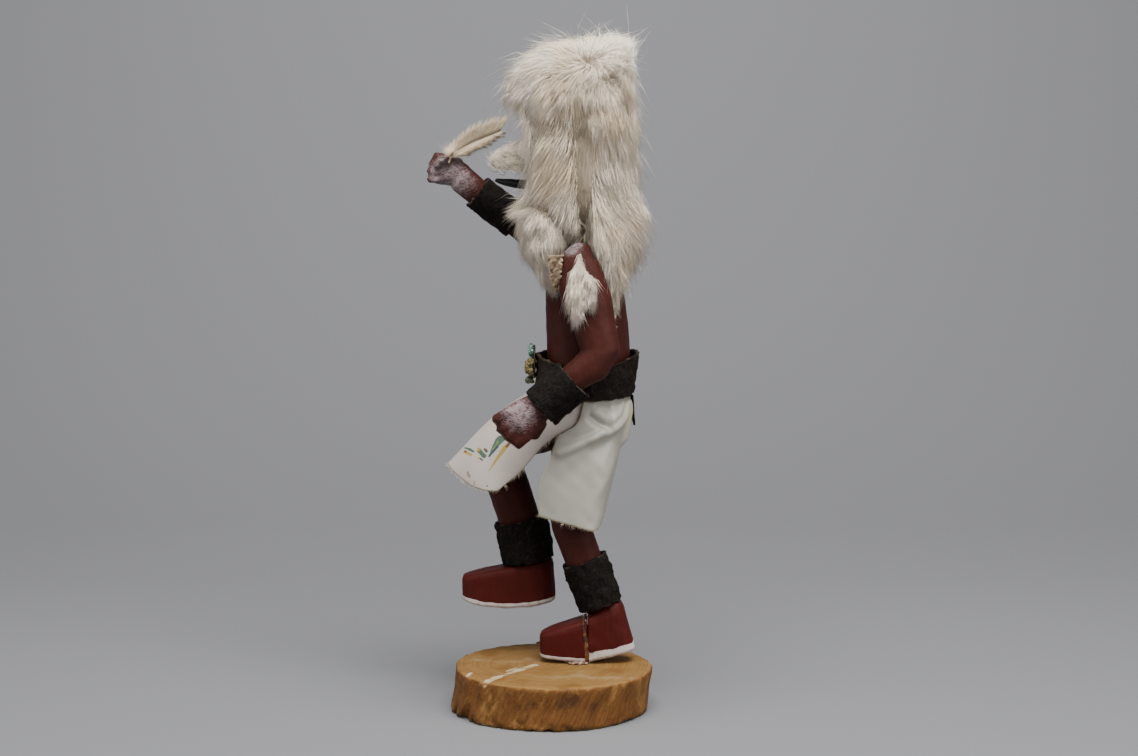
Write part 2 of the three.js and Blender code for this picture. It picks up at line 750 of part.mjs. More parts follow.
const leftCuff = sleeve({
  from: [17, 11.2, 193.8], to: [17, -7.3, 177.6], halfFrom: [10.1, 10.4], halfTo: [9.4, 9.8], overlap: -1.9,
});
const rightCuff = sleeve({
  from: [-91, -22.5, 275.5], to: [-88.1, -46, 293.6], halfFrom: [9.4, 9.2], halfTo: [9, 8.8],
  overlap: Math.PI,
});
const leftAnklet = sleeve({
  from: [LEG_LEFT_X, 17.6, 85], to: [LEG_LEFT_X, 27.5, 58.5], halfFrom: [11.5, 11.7], halfTo: [11.2, 11.3],
  overlap: 2.6,
});
const rightAnklet = sleeve({
  from: [LEG_RIGHT_X, -19.8, 104], to: [LEG_RIGHT_X, -15.2, 79.5], halfFrom: [11.8, 13.6], halfTo: [11.6, 13.2],
  overlap: -0.82,
});
add('left_cuff', leftCuff, DARK_LEATHER, 0.9);
add('right_cuff', rightCuff, DARK_LEATHER, 0.9);
add('left_anklet', cut(leftAnklet, leftHeel(GAP)), DARK_LEATHER, 0.9);
add('right_anklet', cut(rightAnklet, rightFoot(GAP)), DARK_LEATHER, 0.9);

add('belt', cut(belt(), bodyCutter, leftArmCutter), DARK_LEATHER, 0.8);
add('belt_tail', beltTail(), DARK_LEATHER, 0.8);
add('buckle_plate', buckle(), 0x4a4030, 0.5, 0.4);
const STONES = [
  ['turquoise_stone_top', BODY_X, 205.2, 6, 3.6, 2.4, 0x5c6a5c],
  ['amber_stone_left', BODY_X + 4.6, 196, 4, 5, 3.9, 0x5a5238],
  ['turquoise_stone_right', BODY_X - 4.6, 196, 4, 5, 3.4, 0x4f5c4e],
  ['green_stone_bottom', BODY_X, 188.6, 4.6, 2, 3.2, 0x3f4e3c],
];
for (const [name, x, z, halfX, halfZ, rise, color] of STONES) {
  add(name, stone(x, z, halfX, halfZ, rise), color, 0.4);
}
add('apron', cut(apron(), rightLeg(GAP), leftLeg(GAP), bodyCutter), WHITE_LEATHER, 0.6);
add('kilt', cut(kilt(), rightLeg(GAP), leftLeg(GAP)), WHITE_LEATHER, 0.5);

const figure = [bodyCutter, headCutter, muzzleCutter, jawCutter, leftArmCutter, rightArmCutter];
const peltBody = cut(pelt(), ...figure, faceOpening());
const peltCutter = pelt(GAP);
add('fur_pelt', peltBody, FUR, 0.95);
add('fur_ruff', cut(ruff(), ...figure, peltCutter), FUR, 0.95);
add('shoulder_tuft', cut(shoulderTuft(), leftArmCutter), FUR, 0.95);
add('collar_hide', cut(collarHide(), leftArmCutter, ruff(GAP), bodyCutter), 0x6d6150, 0.9);
add('feather', cut(feather(), rightArmCutter), 0x97907f, 0.9);

export default group;
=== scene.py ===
# %% [markdown]
# # A kachina doll, dressed and finished
#
# The doll is a carved and painted wooden dancer on a slab sawn from a branch. It wears
# real fur, soft leather and a feather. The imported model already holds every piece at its
# real size, so this lesson only gives each piece its finish: finer carving, paint,
# leather, hair. Lengths are written in millimetres and turned into metres by MM.

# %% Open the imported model
import math

import bmesh
import bpy
import numpy as np
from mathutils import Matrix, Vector


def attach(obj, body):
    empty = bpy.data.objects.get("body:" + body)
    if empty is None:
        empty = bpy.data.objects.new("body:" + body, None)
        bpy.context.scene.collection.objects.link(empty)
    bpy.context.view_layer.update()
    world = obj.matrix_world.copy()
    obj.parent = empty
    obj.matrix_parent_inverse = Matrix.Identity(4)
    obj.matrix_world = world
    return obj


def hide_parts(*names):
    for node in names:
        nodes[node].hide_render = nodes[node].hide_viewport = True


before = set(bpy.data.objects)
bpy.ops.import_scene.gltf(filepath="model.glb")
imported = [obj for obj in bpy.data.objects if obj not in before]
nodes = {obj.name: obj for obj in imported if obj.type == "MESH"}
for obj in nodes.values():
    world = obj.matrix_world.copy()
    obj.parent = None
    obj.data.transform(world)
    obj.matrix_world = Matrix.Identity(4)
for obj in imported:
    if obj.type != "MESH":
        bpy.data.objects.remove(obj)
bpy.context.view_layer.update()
MM = 0.001
scene = bpy.context.scene
print("the frame holds", len(nodes), "pieces")

# %% [markdown]
# ## The eye
#
# A long lens looks from the figure's left side, a little above its waist, because a long
# lens keeps the near hand and the far hand at one scale. It takes in 649 mm at the doll:
# the 36 mm of the sensor times the eye's distance, over the lens. The eye stands on the
# +X side, 7 degrees above the level, and looks at the doll's middle.

# %% Place the camera
EYE_DISTANCE = 1.482
EYE_ELEVATION = math.radians(7)
LOOK_AT = Vector((0, 0.00907, 0.19207))
eye = bpy.data.cameras.new("eye")
eye.lens = 82.25
eye.sensor_width = 36
camera = bpy.data.objects.new("eye", eye)
scene.collection.objects.link(camera)
offset = Vector((math.cos(EYE_ELEVATION), 0, math.sin(EYE_ELEVATION)))
camera.location = LOOK_AT + EYE_DISTANCE * offset
camera.rotation_euler = (-offset).to_track_quat("-Z", "Y").to_euler()
scene.camera = camera

# %% [markdown]
# ## Small helpers for node trees
#
# Shader trees and geometry trees are wired in the same way, so one small class serves
# both. A value that is a socket is linked, and anything else is typed into the input.

# %% Wire nodes together
class Wires:
    def __init__(self, tree):
        self.tree = tree

    def put(self, socket, value):
        if isinstance(value, bpy.types.NodeSocket):
            self.tree.links.new(value, socket)
        elif value is not None:
            if socket.type == "RGBA" and len(value) == 3:
                value = (*value, 1)
            socket.default_value = value

    def node(self, kind, values=None, **settings):
        made = self.tree.nodes.new(kind)
        for name, setting in settings.items():
            setattr(made, name, setting)
        for name, value in (values or {}).items():
            self.put(made.inputs[name], value)
        return made

    def math(self, operation, a, b=None, c=None, clamp=False):
        made = self.node("ShaderNodeMath", operation=operation, use_clamp=clamp)
        for socket, value in zip(made.inputs, (a, b, c)):
            self.put(socket, value)
        return made.outputs[0]

    def times(self, a, b):
        return self.math("MULTIPLY", a, b)

    def plus(self, a, b):
        return self.math("ADD", a, b)

    def minus(self, a, b):
        return self.math("SUBTRACT", a, b)

    def line(self, value, slope, start):
        return self.math("MULTIPLY_ADD", value, slope, start)

    def vector(self, operation, a, b=None):
        made = self.node("ShaderNodeVectorMath", operation=operation)
        self.put(made.inputs[0], a)
        self.put(made.inputs[1], b)
        return made.outputs["Value" if operation in ("DOT_PRODUCT", "LENGTH") else "Vector"]

    def scaled(self, vector, factor):
        made = self.node("ShaderNodeVectorMath", operation="SCALE")
        self.put(made.inputs[0], vector)
        self.put(made.inputs["Scale"], factor)
        return made.outputs["Vector"]

    def stretch(self, where, factors):
        return self.vector("MULTIPLY", where, factors)

    def blend(self, factor, a, b):
        made = self.node("ShaderNodeMix", data_type="RGBA")
        self.put(made.inputs[0], factor)
        self.put(made.inputs[6], a)
        self.put(made.inputs[7], b)
        return made.outputs[2]

    def noise(self, where, scale, detail=3, rough=0.55):
        values = {"Vector": where, "Scale": scale, "Detail": detail, "Roughness": rough}
        return self.node("ShaderNodeTexNoise", values).outputs[0]

    def cells(self, where, scale):
        return self.node("ShaderNodeTexVoronoi", {"Vector": where, "Scale": scale}).outputs

    def cloud(self, where, scale, detail):
        """A noise in three directions at once, from about 0 to 1 in each."""
        values = {"Vector": where, "Scale": scale, "Detail": detail}
        return self.node("ShaderNodeTexNoise", values).outputs["Color"]

    def place(self):
        return self.node("ShaderNodeTexCoord").outputs["Object"]

    def axes(self, vector):
        return self.node("ShaderNodeSeparateXYZ", {"Vector": vector}).outputs

    def step(self, value, low, high):
        values = {"Value": value, "From Min": low, "From Max": high}
        made = self.node("ShaderNodeMapRange", values, interpolation_type="SMOOTHSTEP")
        return made.outputs[0]


def make_group(name, inputs, outputs):
    """A shader node group with named sockets; returns it with its wires and ends."""
    tree = bpy.data.node_groups.new(name, "ShaderNodeTree")
    for label, kind, value in inputs:
        socket = tree.interface.new_socket(label, in_out="INPUT", socket_type=kind)
        socket.default_value = value
    for label, kind in outputs:
        tree.interface.new_socket(label, in_out="OUTPUT", socket_type=kind)
    wires = Wires(tree)
    return tree, wires, wires.node("NodeGroupInput").outputs, wires.node("NodeGroupOutput").inputs


FLOAT, COLOR, VECTOR = "NodeSocketFloat", "NodeSocketColor", "NodeSocketVector"

# %% [markdown]
# ## Shared effects
#
# Hand painting, cut leather and sawn wood all need the same few marks: brush strokes,
# a worn edge, a pebbled grain and dust. Each is one node group that gives out only
# colours, masks and heights, so every material can place it with its own values.

# %% Brush strokes and wear for painted wood
BRUSH = (900, 900, 90)


def painted_wood_group():
    tree, w, given, out = make_group(
        "Painted wood",
        [("Paint", COLOR, (0.05, 0.02, 0.015, 1)), ("Bare", COLOR, (0.4, 0.33, 0.28, 1)),
         ("Wear", FLOAT, 0.0), ("Stroke", VECTOR, BRUSH)],
        [("Color", COLOR), ("Roughness", FLOAT), ("Height", FLOAT)],
    )
    where = w.place()
    stroke = w.noise(w.stretch(where, given["Stroke"]), 1.0, 4)
    mottle = w.noise(where, 70, 4)
    speck = w.noise(where, 1500, 2)
    light = w.line(stroke, 0.5, 0.72)
    light = w.times(light, w.line(mottle, 0.55, 0.74))
    tint = w.scaled(given["Paint"], light)
    breakup = w.line(speck, 0.7, w.times(stroke, 0.5))
    chip = w.step(w.plus(given["Wear"], w.minus(breakup, 0.6)), 0.55, 0.7)
    w.put(out["Color"], w.blend(chip, tint, given["Bare"]))
    w.put(out["Roughness"], w.line(stroke, 0.3, w.line(chip, 0.2, 0.42)))
    w.put(out["Height"], w.minus(stroke, chip))
    return tree


PAINTED_WOOD = painted_wood_group()

# %% Grain for the rough side of leather
def suede_group():
    tree, w, given, out = make_group(
        "Rough leather",
        [("Leather", COLOR, (0.016, 0.011, 0.009, 1)), ("Rubbed", COLOR, (0.07, 0.05, 0.04, 1)),
         ("Wear", FLOAT, 0.0)],
        [("Color", COLOR), ("Roughness", FLOAT), ("Height", FLOAT)],
    )
    where = w.place()
    pebble = w.cells(where, 620.0)["Distance"]
    nap = w.noise(where, 2200, 3, 0.7)
    cloud = w.noise(where, 110, 4)
    grain = w.plus(w.times(pebble, 0.6), w.times(nap, 0.8))
    light = w.line(w.math("POWER", grain, 3.0), 2.2, w.times(cloud, 0.8))
    tint = w.scaled(given["Leather"], light)
    rub = w.step(w.plus(given["Wear"], w.minus(nap, 0.6)), 0.45, 0.9)
    w.put(out["Color"], w.blend(rub, tint, given["Rubbed"]))
    w.put(out["Roughness"], w.line(nap, 0.25, 0.68))
    w.put(out["Height"], grain)
    return tree


SUEDE = suede_group()

# %% [markdown]
# ## Materials
#
# A material is one Principled shader. Values that are the same all over are typed on
# the shader itself, and only what varies over the surface comes from the groups.

# %% Make a material from a recipe
def start_material(name, **constants):
    material = bpy.data.materials.new(name)
    material.use_nodes = True
    wires = Wires(material.node_tree)
    shader = material.node_tree.nodes["Principled BSDF"]
    for label, value in constants.items():
        shader.inputs[label.replace("_", " ")].default_value = value
    return material, wires, shader


def coat(wires, shader, color, roughness=None):
    wires.put(shader.inputs["Base Color"], color)
    wires.put(shader.inputs["Roughness"], roughness)


def bump(wires, shader, height, strength, depth):
    """Relief of depth millimetres that the light sees but the outline doesn't."""
    values = {"Strength": strength, "Distance": depth * MM, "Height": height}
    wires.put(shader.inputs["Normal"], wires.node("ShaderNodeBump", values).outputs[0])


def place_group(wires, tree, values):
    made = wires.node("ShaderNodeGroup", node_tree=tree)
    for label, value in values.items():
        wires.put(made.inputs[label], value)
    return made.outputs


def mask(wires, name):
    return wires.node("ShaderNodeAttribute", attribute_name=name).outputs["Fac"]


UNDERCOAT = (0.33, 0.27, 0.275)


def painted(name, paint, bare, scuffs=True):
    """Brushed paint whose edges are rubbed and whose scuffs show a pale undercoat."""
    material, w, shader = start_material(name, Specular_IOR_Level=0.13)
    values = {"Paint": paint, "Bare": bare, "Wear": mask(w, "edge"), "Stroke": BRUSH}
    made = place_group(w, PAINTED_WOOD, values)
    color = made["Color"]
    if scuffs:
        where = w.place()
        streak = w.noise(w.stretch(where, (1500, 600, 2100)), 1.0, 5, 0.75)
        patch = w.noise(where, 330, 3)
        rubbed = w.times(mask(w, "scuff"), w.line(streak, 3.2, w.times(patch, 0.9)))
        color = w.blend(w.times(w.step(rubbed, 1.45, 2.5), 0.8), color, UNDERCOAT)
    coat(w, shader, color, made["Roughness"])
    bump(w, shader, made["Height"], 0.35, 0.25)
    return material, w, shader


MAROON, _, _ = painted("maroon paint", (0.045, 0.0105, 0.0072), (0.09, 0.034, 0.026))
BLACK_PAINT, _, _ = painted("black paint", (0.006, 0.006, 0.006), (0.03, 0.03, 0.03), scuffs=False)


# HOLE_SHADE is near-black painted shade for the inside of the boot's hole.
SOLE_WHITE, SOLE_GRIME, HOLE_SHADE = (0.52, 0.46, 0.42), (0.3, 0.2, 0.17), (0.004, 0.002, 0.002)


def boot_paint():
    """Brick red boots with a white band brushed round the sole."""
    material, w, shader = painted("boot paint", (0.058, 0.0062, 0.0040), (0.10, 0.022, 0.015))
    red = shader.inputs["Base Color"].links[0].from_socket
    where = w.place()
    waver = w.minus(w.noise(where, 130, 3), 0.5)
    edge = w.plus(mask(w, "sole"), w.times(waver, 0.55))
    band = w.step(edge, 0.04, -0.04)
    dirt = w.noise(where, 260, 5, 0.7)
    white = w.blend(w.step(dirt, 0.5, 0.72), SOLE_WHITE, SOLE_GRIME)
    color = w.blend(band, red, white)
    # Where the hole mask is 1 the paint turns near black: painted shade in the hole.
    coat(w, shader, w.blend(mask(w, "hole"), color, HOLE_SHADE))
    return material


BOOT = boot_paint()


LIGHT_BROWN, DEEP_BROWN = (0.030, 0.019, 0.0125), (0.013, 0.0085, 0.006)


def dark_leather(name, leather, rubbed):
    """Rough leather; where smooth is painted, the polished brown grain side shows."""
    material, w, shader = start_material(name, Specular_IOR_Level=0.1)
    smooth = mask(w, "smooth")
    made = place_group(w, SUEDE, {"Leather": leather, "Rubbed": rubbed, "Wear": mask(w, "edge")})
    hide_grain = w.noise(w.stretch(w.place(), (300, 300, 90)), 1.0, 4)
    brown = w.blend(hide_grain, LIGHT_BROWN, DEEP_BROWN)
    brown = w.blend(w.times(mask(w, "edge"), 0.8), brown, rubbed)
    polished = w.minus(made["Roughness"], w.times(smooth, 0.25))
    coat(w, shader, w.blend(smooth, made["Color"], brown), polished)
    rough = w.times(made["Height"], w.line(smooth, -0.85, 1.0))
    bump(w, shader, rough, 1.0, 0.5)
    return material


DARK_LEATHER = dark_leather("dark leather", (0.0064, 0.0048, 0.0037), (0.055, 0.042, 0.031))
BELT_LEATHER = dark_leather("belt leather", (0.0090, 0.0062, 0.0046), (0.065, 0.048, 0.034))

# %% [markdown]
# ## Finer carving
#
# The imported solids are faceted. A knife leaves soft, slightly uneven planes, so each
# carved piece is copied, remeshed into small even faces, eased, and then moved in and
# out a little by a slow noise, which gives the tool marks.

# %% Copy a solid and work it finer
WELD = 0.01
WAVES = 14


def mix(a, b, t):
    return a + (b - a) * t


def ease(t):
    t = np.clip(t, 0, 1)
    return t * t * (3 - 2 * t)


def bump_at(value, centre, width):
    return np.exp(-(((value - centre) / width) ** 2))


def soft_noise(points, size, seed):
    """A smooth random field, about -1 to 1, whose lumps are size millimetres across."""
    dice = np.random.default_rng(seed)
    directions = dice.normal(size=(WAVES, 3))
    directions /= np.linalg.norm(directions, axis=1)[:, None]
    pitch = 2 * math.pi / (size * MM) * dice.uniform(0.5, 1.2, WAVES)
    phase = dice.uniform(0, 2 * math.pi, WAVES)
    return np.sin(points @ (directions * pitch[:, None]).T + phase).sum(1) / math.sqrt(WAVES)


def read_vectors(rows, label):
    flat = np.empty(len(rows) * 3, np.float32)
    rows.foreach_get(label, flat)
    return flat.reshape(-1, 3).astype(float)


def points_of(piece):
    return read_vectors(piece.data.vertices, "co")


def normals_of(piece):
    return read_vectors(piece.data.vertex_normals, "vector")


def move_points(piece, points):
    piece.data.vertices.foreach_set("co", points.astype(np.float32).ravel())
    piece.data.update()


def press_out(piece, height):
    """Moves every point height millimetres out along its normal, or in below 0."""
    move_points(piece, points_of(piece) + normals_of(piece) * (height * MM)[:, None])


def add_smoothing(piece, rounds):
    smooth = piece.modifiers.new("smooth", "SMOOTH")
    smooth.factor = 0.5
    smooth.iterations = rounds


def new_piece(name, mesh):
    piece = bpy.data.objects.new(name, mesh)
    scene.collection.objects.link(piece)
    return piece


def settle(piece):
    """Turns the modifiers' result into the piece's own plain mesh."""
    bpy.context.view_layer.update()
    graph = bpy.context.evaluated_depsgraph_get()
    mesh = bpy.data.meshes.new_from_object(piece.evaluated_get(graph))
    piece.modifiers.clear()
    old = piece.data
    piece.data = mesh
    bpy.data.meshes.remove(old)
    return piece


def weld(mesh):
    """Merges loose corners that touch, so that a solid becomes one closed skin."""
    work = bmesh.new()
    work.from_mesh(mesh)
    bmesh.ops.remove_doubles(work, verts=work.verts, dist=WELD * MM)
    bmesh.ops.recalc_face_normals(work, faces=work.faces)
    work.to_mesh(mesh)
    work.free()


def worked_copy(node, name, voxel, rounds):
    """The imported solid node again, in even faces voxel millimetres wide, and eased."""
    mesh = nodes[node].data.copy()
    mesh.materials.clear()
    piece = new_piece(name, mesh)
    weld(mesh)
    even = piece.modifiers.new("even", "REMESH")
    even.mode = "VOXEL"
    even.voxel_size = voxel * MM
    add_smoothing(piece, rounds)
    return settle(piece)


def paint_mask(piece, name, values):
    layer = piece.data.attributes.get(name)
    layer = layer or piece.data.attributes.new(name, "FLOAT", "POINT")
    layer.data.foreach_set("value", np.asarray(values, np.float32))


EASING_ROUNDS = 8


def edge_mask(piece, gain):
    """1 on sharp outer edges and 0 on flats, from how far a point stands off its eased place."""
    points = points_of(piece)
    pairs = np.empty(len(piece.data.edges) * 2, np.int64)
    piece.data.edges.foreach_get("vertices", pairs)
    a, b = pairs.reshape(-1, 2).T
    count = np.bincount(a, minlength=len(points)) + np.bincount(b, minlength=len(points))
    eased = points
    for _ in range(EASING_ROUNDS):
        total = np.zeros_like(eased)
        for axis in range(3):
            total[:, axis] += np.bincount(a, eased[b, axis], len(points))
            total[:, axis] += np.bincount(b, eased[a, axis], len(points))
        eased = total / np.maximum(count, 1)[:, None]
    proud = ((points - eased) * normals_of(piece)).sum(1)
    usual, most = np.percentile(proud, (75, 99.7))
    paint_mask(piece, "edge", np.clip((proud - usual) / (most - usual), 0, 1) * gain)


def dress(piece, material, replaced=()):
    """Gives a finished piece its material and place in the frame."""
    piece.data.materials.clear()
    piece.data.materials.append(material)
    for face in piece.data.polygons:
        face.use_smooth = True
    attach(piece, "root")
    if replaced:
        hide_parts(*replaced)
    return piece


BROAD_MARK, FINE_MARK = 9, 3.5


def carve(node, voxel, rounds, chatter=0.12, seed=1):
    """A worked copy with knife marks chatter millimetres deep and half worn edges."""
    piece = worked_copy(node, node + "_carved", voxel, rounds)
    points = points_of(piece)
    marks = soft_noise(points, BROAD_MARK, seed) * chatter
    marks = marks + soft_noise(points, FINE_MARK, seed + 50) * chatter * 0.4
    press_out(piece, marks)
    edge_mask(piece, gain=0.5)
    return piece


# %% [markdown]
# ## The carved figure
#
# Torso, head, arms and legs share one dull maroon paint. The hands are rubbed and
# whitened, and the left shoulder has a smear of white.

# %% Carve the limbs and the body
BODY_X = -24


def near_mask(points, centre, reach):
    """1 at centre, falling to 0 at reach millimetres from it."""
    return np.clip(1 - np.linalg.norm(points - np.array(centre) * MM, axis=1) / (reach * MM), 0, 1)


def round_shoulder(points):
    """Lowers the cap of the shoulder towards its front and its back."""
    y, z = points[:, 1] / MM, points[:, 2] / MM
    points[:, 2] -= 4 * np.clip((y - 15) / 8.3, -1.2, 1.2) ** 2 * ease((z - 258) / 10) * MM
    return points


VOXELS = {
    "torso": 1.6, "head": 2.4, "left_arm": 0.95, "right_arm": 0.95, "left_leg": 1.3, "right_leg": 1.3,
}
SCUFFED = {
    "left_arm": [((24, -19, 175), 32, 1.2), ((14, 9, 270), 18, 1.4)],
    "right_arm": [((-78, -57, 300), 34, 1.15), ((-78, -70, 306), 20, 0.6)],
}
for seed, (node, voxel) in enumerate(VOXELS.items()):
    piece = carve(node, voxel, rounds=9, seed=seed + 3)
    points = points_of(piece)
    if node == "left_arm":
        points = round_shoulder(points)
        move_points(piece, points)
    scuff = np.zeros(len(points))
    for centre, reach, strength in SCUFFED.get(node, []):
        scuff = scuff + near_mask(points, centre, reach) * strength
    paint_mask(piece, "scuff", np.clip(scuff, 0, 1))
    dress(piece, MAROON, replaced=[node])
    print(node, len(piece.data.polygons), "faces")

# %% [markdown]
# ## Boots
#
# The soles are painted by hand, so the top of the white band wavers. Each boot stores
# how far every point stands above its sole, and the paint reads that. The raised boot
# has a small hole in its near side, pressed in as a shallow dent and painted near black
# as painted shade for the hole's depth.

# %% Carve the boots and mark their soles
BORE, BORE_RADIUS, BORE_DEPTH = np.array([BODY_X - 2.2, -6.1, 77.2]), 1.0, 0.9
SOLES = {
    "left_foot_toe": (lambda y: 25.8 + 2.2 * np.clip((19.5 - y) / 27.5, 0, 1), 2.6),
    "left_foot_heel": (lambda y: 26.1 + 6.1 * np.clip((y - 19.9) / 28, 0, 1), 5.6),
    "right_foot": (lambda y: 52.2 + 3.6 * ((y + 26.2) / 27.8) ** 2, 3.4),
}
for seed, (node, (sole, band)) in enumerate(SOLES.items()):
    piece = carve(node, 0.75, rounds=1, chatter=0.1, seed=seed + 21)
    points = points_of(piece) / MM
    hole = bump_at(np.linalg.norm(points - BORE, axis=1), 0, BORE_RADIUS)
    move_points(piece, (points - normals_of(piece) * (hole * BORE_DEPTH)[:, None]) * MM)
    # The hole mask also carries the hole's near-black painted shade.
    paint_mask(piece, "hole", ease(hole * 2))
    above = (points[:, 2] - sole(points[:, 1])) / band
    paint_mask(piece, "sole", above - 1)
    dress(piece, BOOT, replaced=[node])

# %% [markdown]
# ## Curves and closed strips
#
# Belt, cuffs and anklets are strips cut from a hide and wrapped round. A strip could be
# a plane with a thickness added, but it needs rims that stay crisp while the faces are
# rough, so its outer wall, inner wall and two rims are laid out as one closed loop that
# runs round the limb.

# %% A smooth path through points
def smooth_path(points):
    """Returns path(t) for t from 0 to 1 through the points, in millimetres."""
    knots = np.array(points, float)
    knots = np.vstack([2 * knots[0] - knots[1], knots, 2 * knots[-1] - knots[-2]])
    count = len(points) - 1

    def path(t):
        t = np.clip(np.asarray(t, float), 0, 1) * count
        k = np.minimum(t.astype(int), count - 1)
        w = (t - k)[..., None]
        p0, p1, p2, p3 = (knots[k + step] for step in range(4))
        gap = [np.maximum(np.linalg.norm(b - a, axis=-1, keepdims=True), 1e-9) ** 0.5
               for a, b in ((p0, p1), (p1, p2), (p2, p3))]
        out = (p1 - p0) / gap[0] - (p2 - p0) / (gap[0] + gap[1]) + (p2 - p1) / gap[1]
        into = (p2 - p1) / gap[1] - (p3 - p1) / (gap[1] + gap[2]) + (p3 - p2) / gap[2]
        out, into = out * gap[1], into * gap[1]
        bend = -3 * p1 + 3 * p2 - 2 * out - into
        return p1 + out * w + bend * w**2 + (2 * p1 - 2 * p2 + out + into) * w**3

    return path


def unit(vectors):
    return vectors / np.maximum(np.linalg.norm(vectors, axis=-1, keepdims=True), 1e-9)


def mesh_piece(name, points, faces):
    mesh = bpy.data.meshes.new(name)
    mesh.from_pydata((np.asarray(points) * MM).tolist(), [], faces)
    mesh.validate()
    return new_piece(name, mesh)


def grid_faces(rows, columns, closed=False):
    """Quads over rows by columns of points; closed joins each last line to the first."""
    faces = []
    open_end = 0 if closed else 1
    for r in range(rows - open_end):
        a, b = r * columns, ((r + 1) % rows) * columns
        faces += [(a + c, b + c, b + (c + 1) % columns, a + (c + 1) % columns)
                  for c in range(columns - open_end)]
    return faces


# %% A closed tube along a path
SIDEWAYS = np.array([1.0, 0, 0])


def tube(name, points, across, deep, rings=24, sides=10):
    """An oval tube; across and deep are its half sizes in millimetres at the points."""
    t = np.linspace(0, 1, rings)
    path = smooth_path(points)
    heading = unit(path(np.clip(t + 0.01, 0, 1)) - path(np.clip(t - 0.01, 0, 1)))
    one = unit(SIDEWAYS - heading * (heading @ SIDEWAYS)[:, None])
    two = np.cross(heading, one)
    at = np.linspace(0, 1, len(across))
    a, d = np.interp(t, at, across)[:, None, None], np.interp(t, at, deep)[:, None, None]
    turn = np.linspace(0, 2 * math.pi, sides, endpoint=False)[None, :, None]
    wall = path(t)[:, None] + one[:, None] * a * np.cos(turn) + two[:, None] * d * np.sin(turn)
    faces = []
    for first in range(0, (rings - 1) * sides, sides):
        for k in range(sides):
            after = (k + 1) % sides
            faces.append((first + k, first + after, first + sides + after, first + sides + k))
    faces += [tuple(range(sides))[::-1], tuple((rings - 1) * sides + k for k in range(sides))]
    return mesh_piece(name, wall.reshape(-1, 3), faces)


# %% Wrap a strip of leather
LEATHER = 1.8


def strip(name, place, turns, rows, seed, rough=0.24, seam=None):
    """place(angle, height, out) gives points; height runs 0 to 1 across the strip."""
    heights = np.concatenate([[0, 0.012], np.linspace(0.04, 0.96, rows - 3), [0.988, 1]])
    loop = [(h, LEATHER) for h in heights] + [(h, 0) for h in heights[::-1]]
    angle = np.linspace(0, 2 * math.pi, turns, endpoint=False)[:, None]
    height, out = np.array(loop).T
    rim = np.minimum(height, 1 - height)
    out = np.where(out > 0, out - 0.45 * (rim == 0), out + 0.3 * (rim == 0))
    points = place(angle, height[None, :], out[None, :])
    piece = mesh_piece(name, points.reshape(-1, 3), grid_faces(turns, len(loop), True))
    spots = points_of(piece)
    bumps = soft_noise(spots, 2.2, seed) * rough + soft_noise(spots, 7, seed + 1) * rough * 1.4
    press_out(piece, bumps)
    cut_rim = np.tile((rim < 0.02).astype(float), turns)
    frayed = ease(0.5 + 0.8 * soft_noise(spots, 5, seed + 2))
    edge = cut_rim * (0.25 + 0.65 * frayed)
    if seam:
        edge = np.maximum(edge, 0.8 * seam(angle, height[None, :]).ravel())
    paint_mask(piece, "edge", edge)
    return piece


# %% The belt
BELT_Y, BELT_HALF_X, BELT_HALF_Y = 19.2, 27.2, 27.4
BELT_TOP, BELT_BOTTOM = 202, 182


def belt_point(angle, out, z):
    x = BODY_X + (BELT_HALF_X + out) * np.cos(angle)
    y = BELT_Y + (BELT_HALF_Y + out) * np.sin(angle)
    return np.stack(np.broadcast_arrays(x, y, z), -1)


def belt_place(angle, height, out):
    dip = 5 * np.maximum(np.cos(angle), 0) ** 2
    back = np.maximum(np.sin(angle), 0)
    front = np.maximum(-np.sin(angle), 0)
    ragged = 0.35 * np.sin(23 * angle) * np.sin(9 * angle + 1)
    top = BELT_TOP + 1.6 * front + 2.4 * back - dip + ragged
    bottom = BELT_BOTTOM + 3.6 * front - 1.4 * back - dip / 2 + ragged
    crease = 0.9 * np.exp(-((angle - 0.96) / 0.05) ** 2)
    return belt_point(angle, out + back * (height * 3.4 - 1.8) - crease, mix(bottom, top, height))


belt = strip("belt_leather", belt_place, turns=240, rows=20, seed=41)
paint_mask(belt, "smooth", ease((4 - points_of(belt)[:, 1] / MM) / 8))
dress(belt, BELT_LEATHER, replaced=["belt"])

# %% Cuffs and anklets
OVERLAP = 0.64


def sleeve(node, start, end, half_start, half_end, flap, seed, flap_round=0.0, rough=0.22):
    """A wrapped cuff; its leather doubles round the angle flap, where its ends overlap."""
    start, end = np.array(start, float), np.array(end, float)
    along = unit(end - start)
    across = unit(SIDEWAYS - along[0] * along)
    deep = np.cross(along, across)

    def past_flap(angle, height):
        turn = np.angle(np.exp(1j * (angle - flap)))
        return OVERLAP - flap_round * (2 * height - 1) ** 4 - np.abs(turn)

    def seam(angle, height):
        return bump_at(past_flap(angle, height), 0.02, 0.03)

    def place(angle, height, out):
        doubled = LEATHER * 0.9 * ease(past_flap(angle, height) / 0.05)
        lift = np.where(out > 0, out + doubled, out)
        ragged = 0.02 * np.sin(17 * angle) * np.sin(7 * angle + 2)
        height = height * (1 + ragged)
        a = mix(half_start[0], half_end[0], height) + lift
        d = mix(half_start[1], half_end[1], height) + lift
        centre = start + (end - start) * height[..., None]
        return centre + across * (a * np.cos(angle))[..., None] + deep * (d * np.sin(angle))[..., None]

    piece = strip(node + "_leather", place, turns=170, rows=22, seed=seed, rough=rough, seam=seam)
    dress(piece, DARK_LEATHER, replaced=[node])


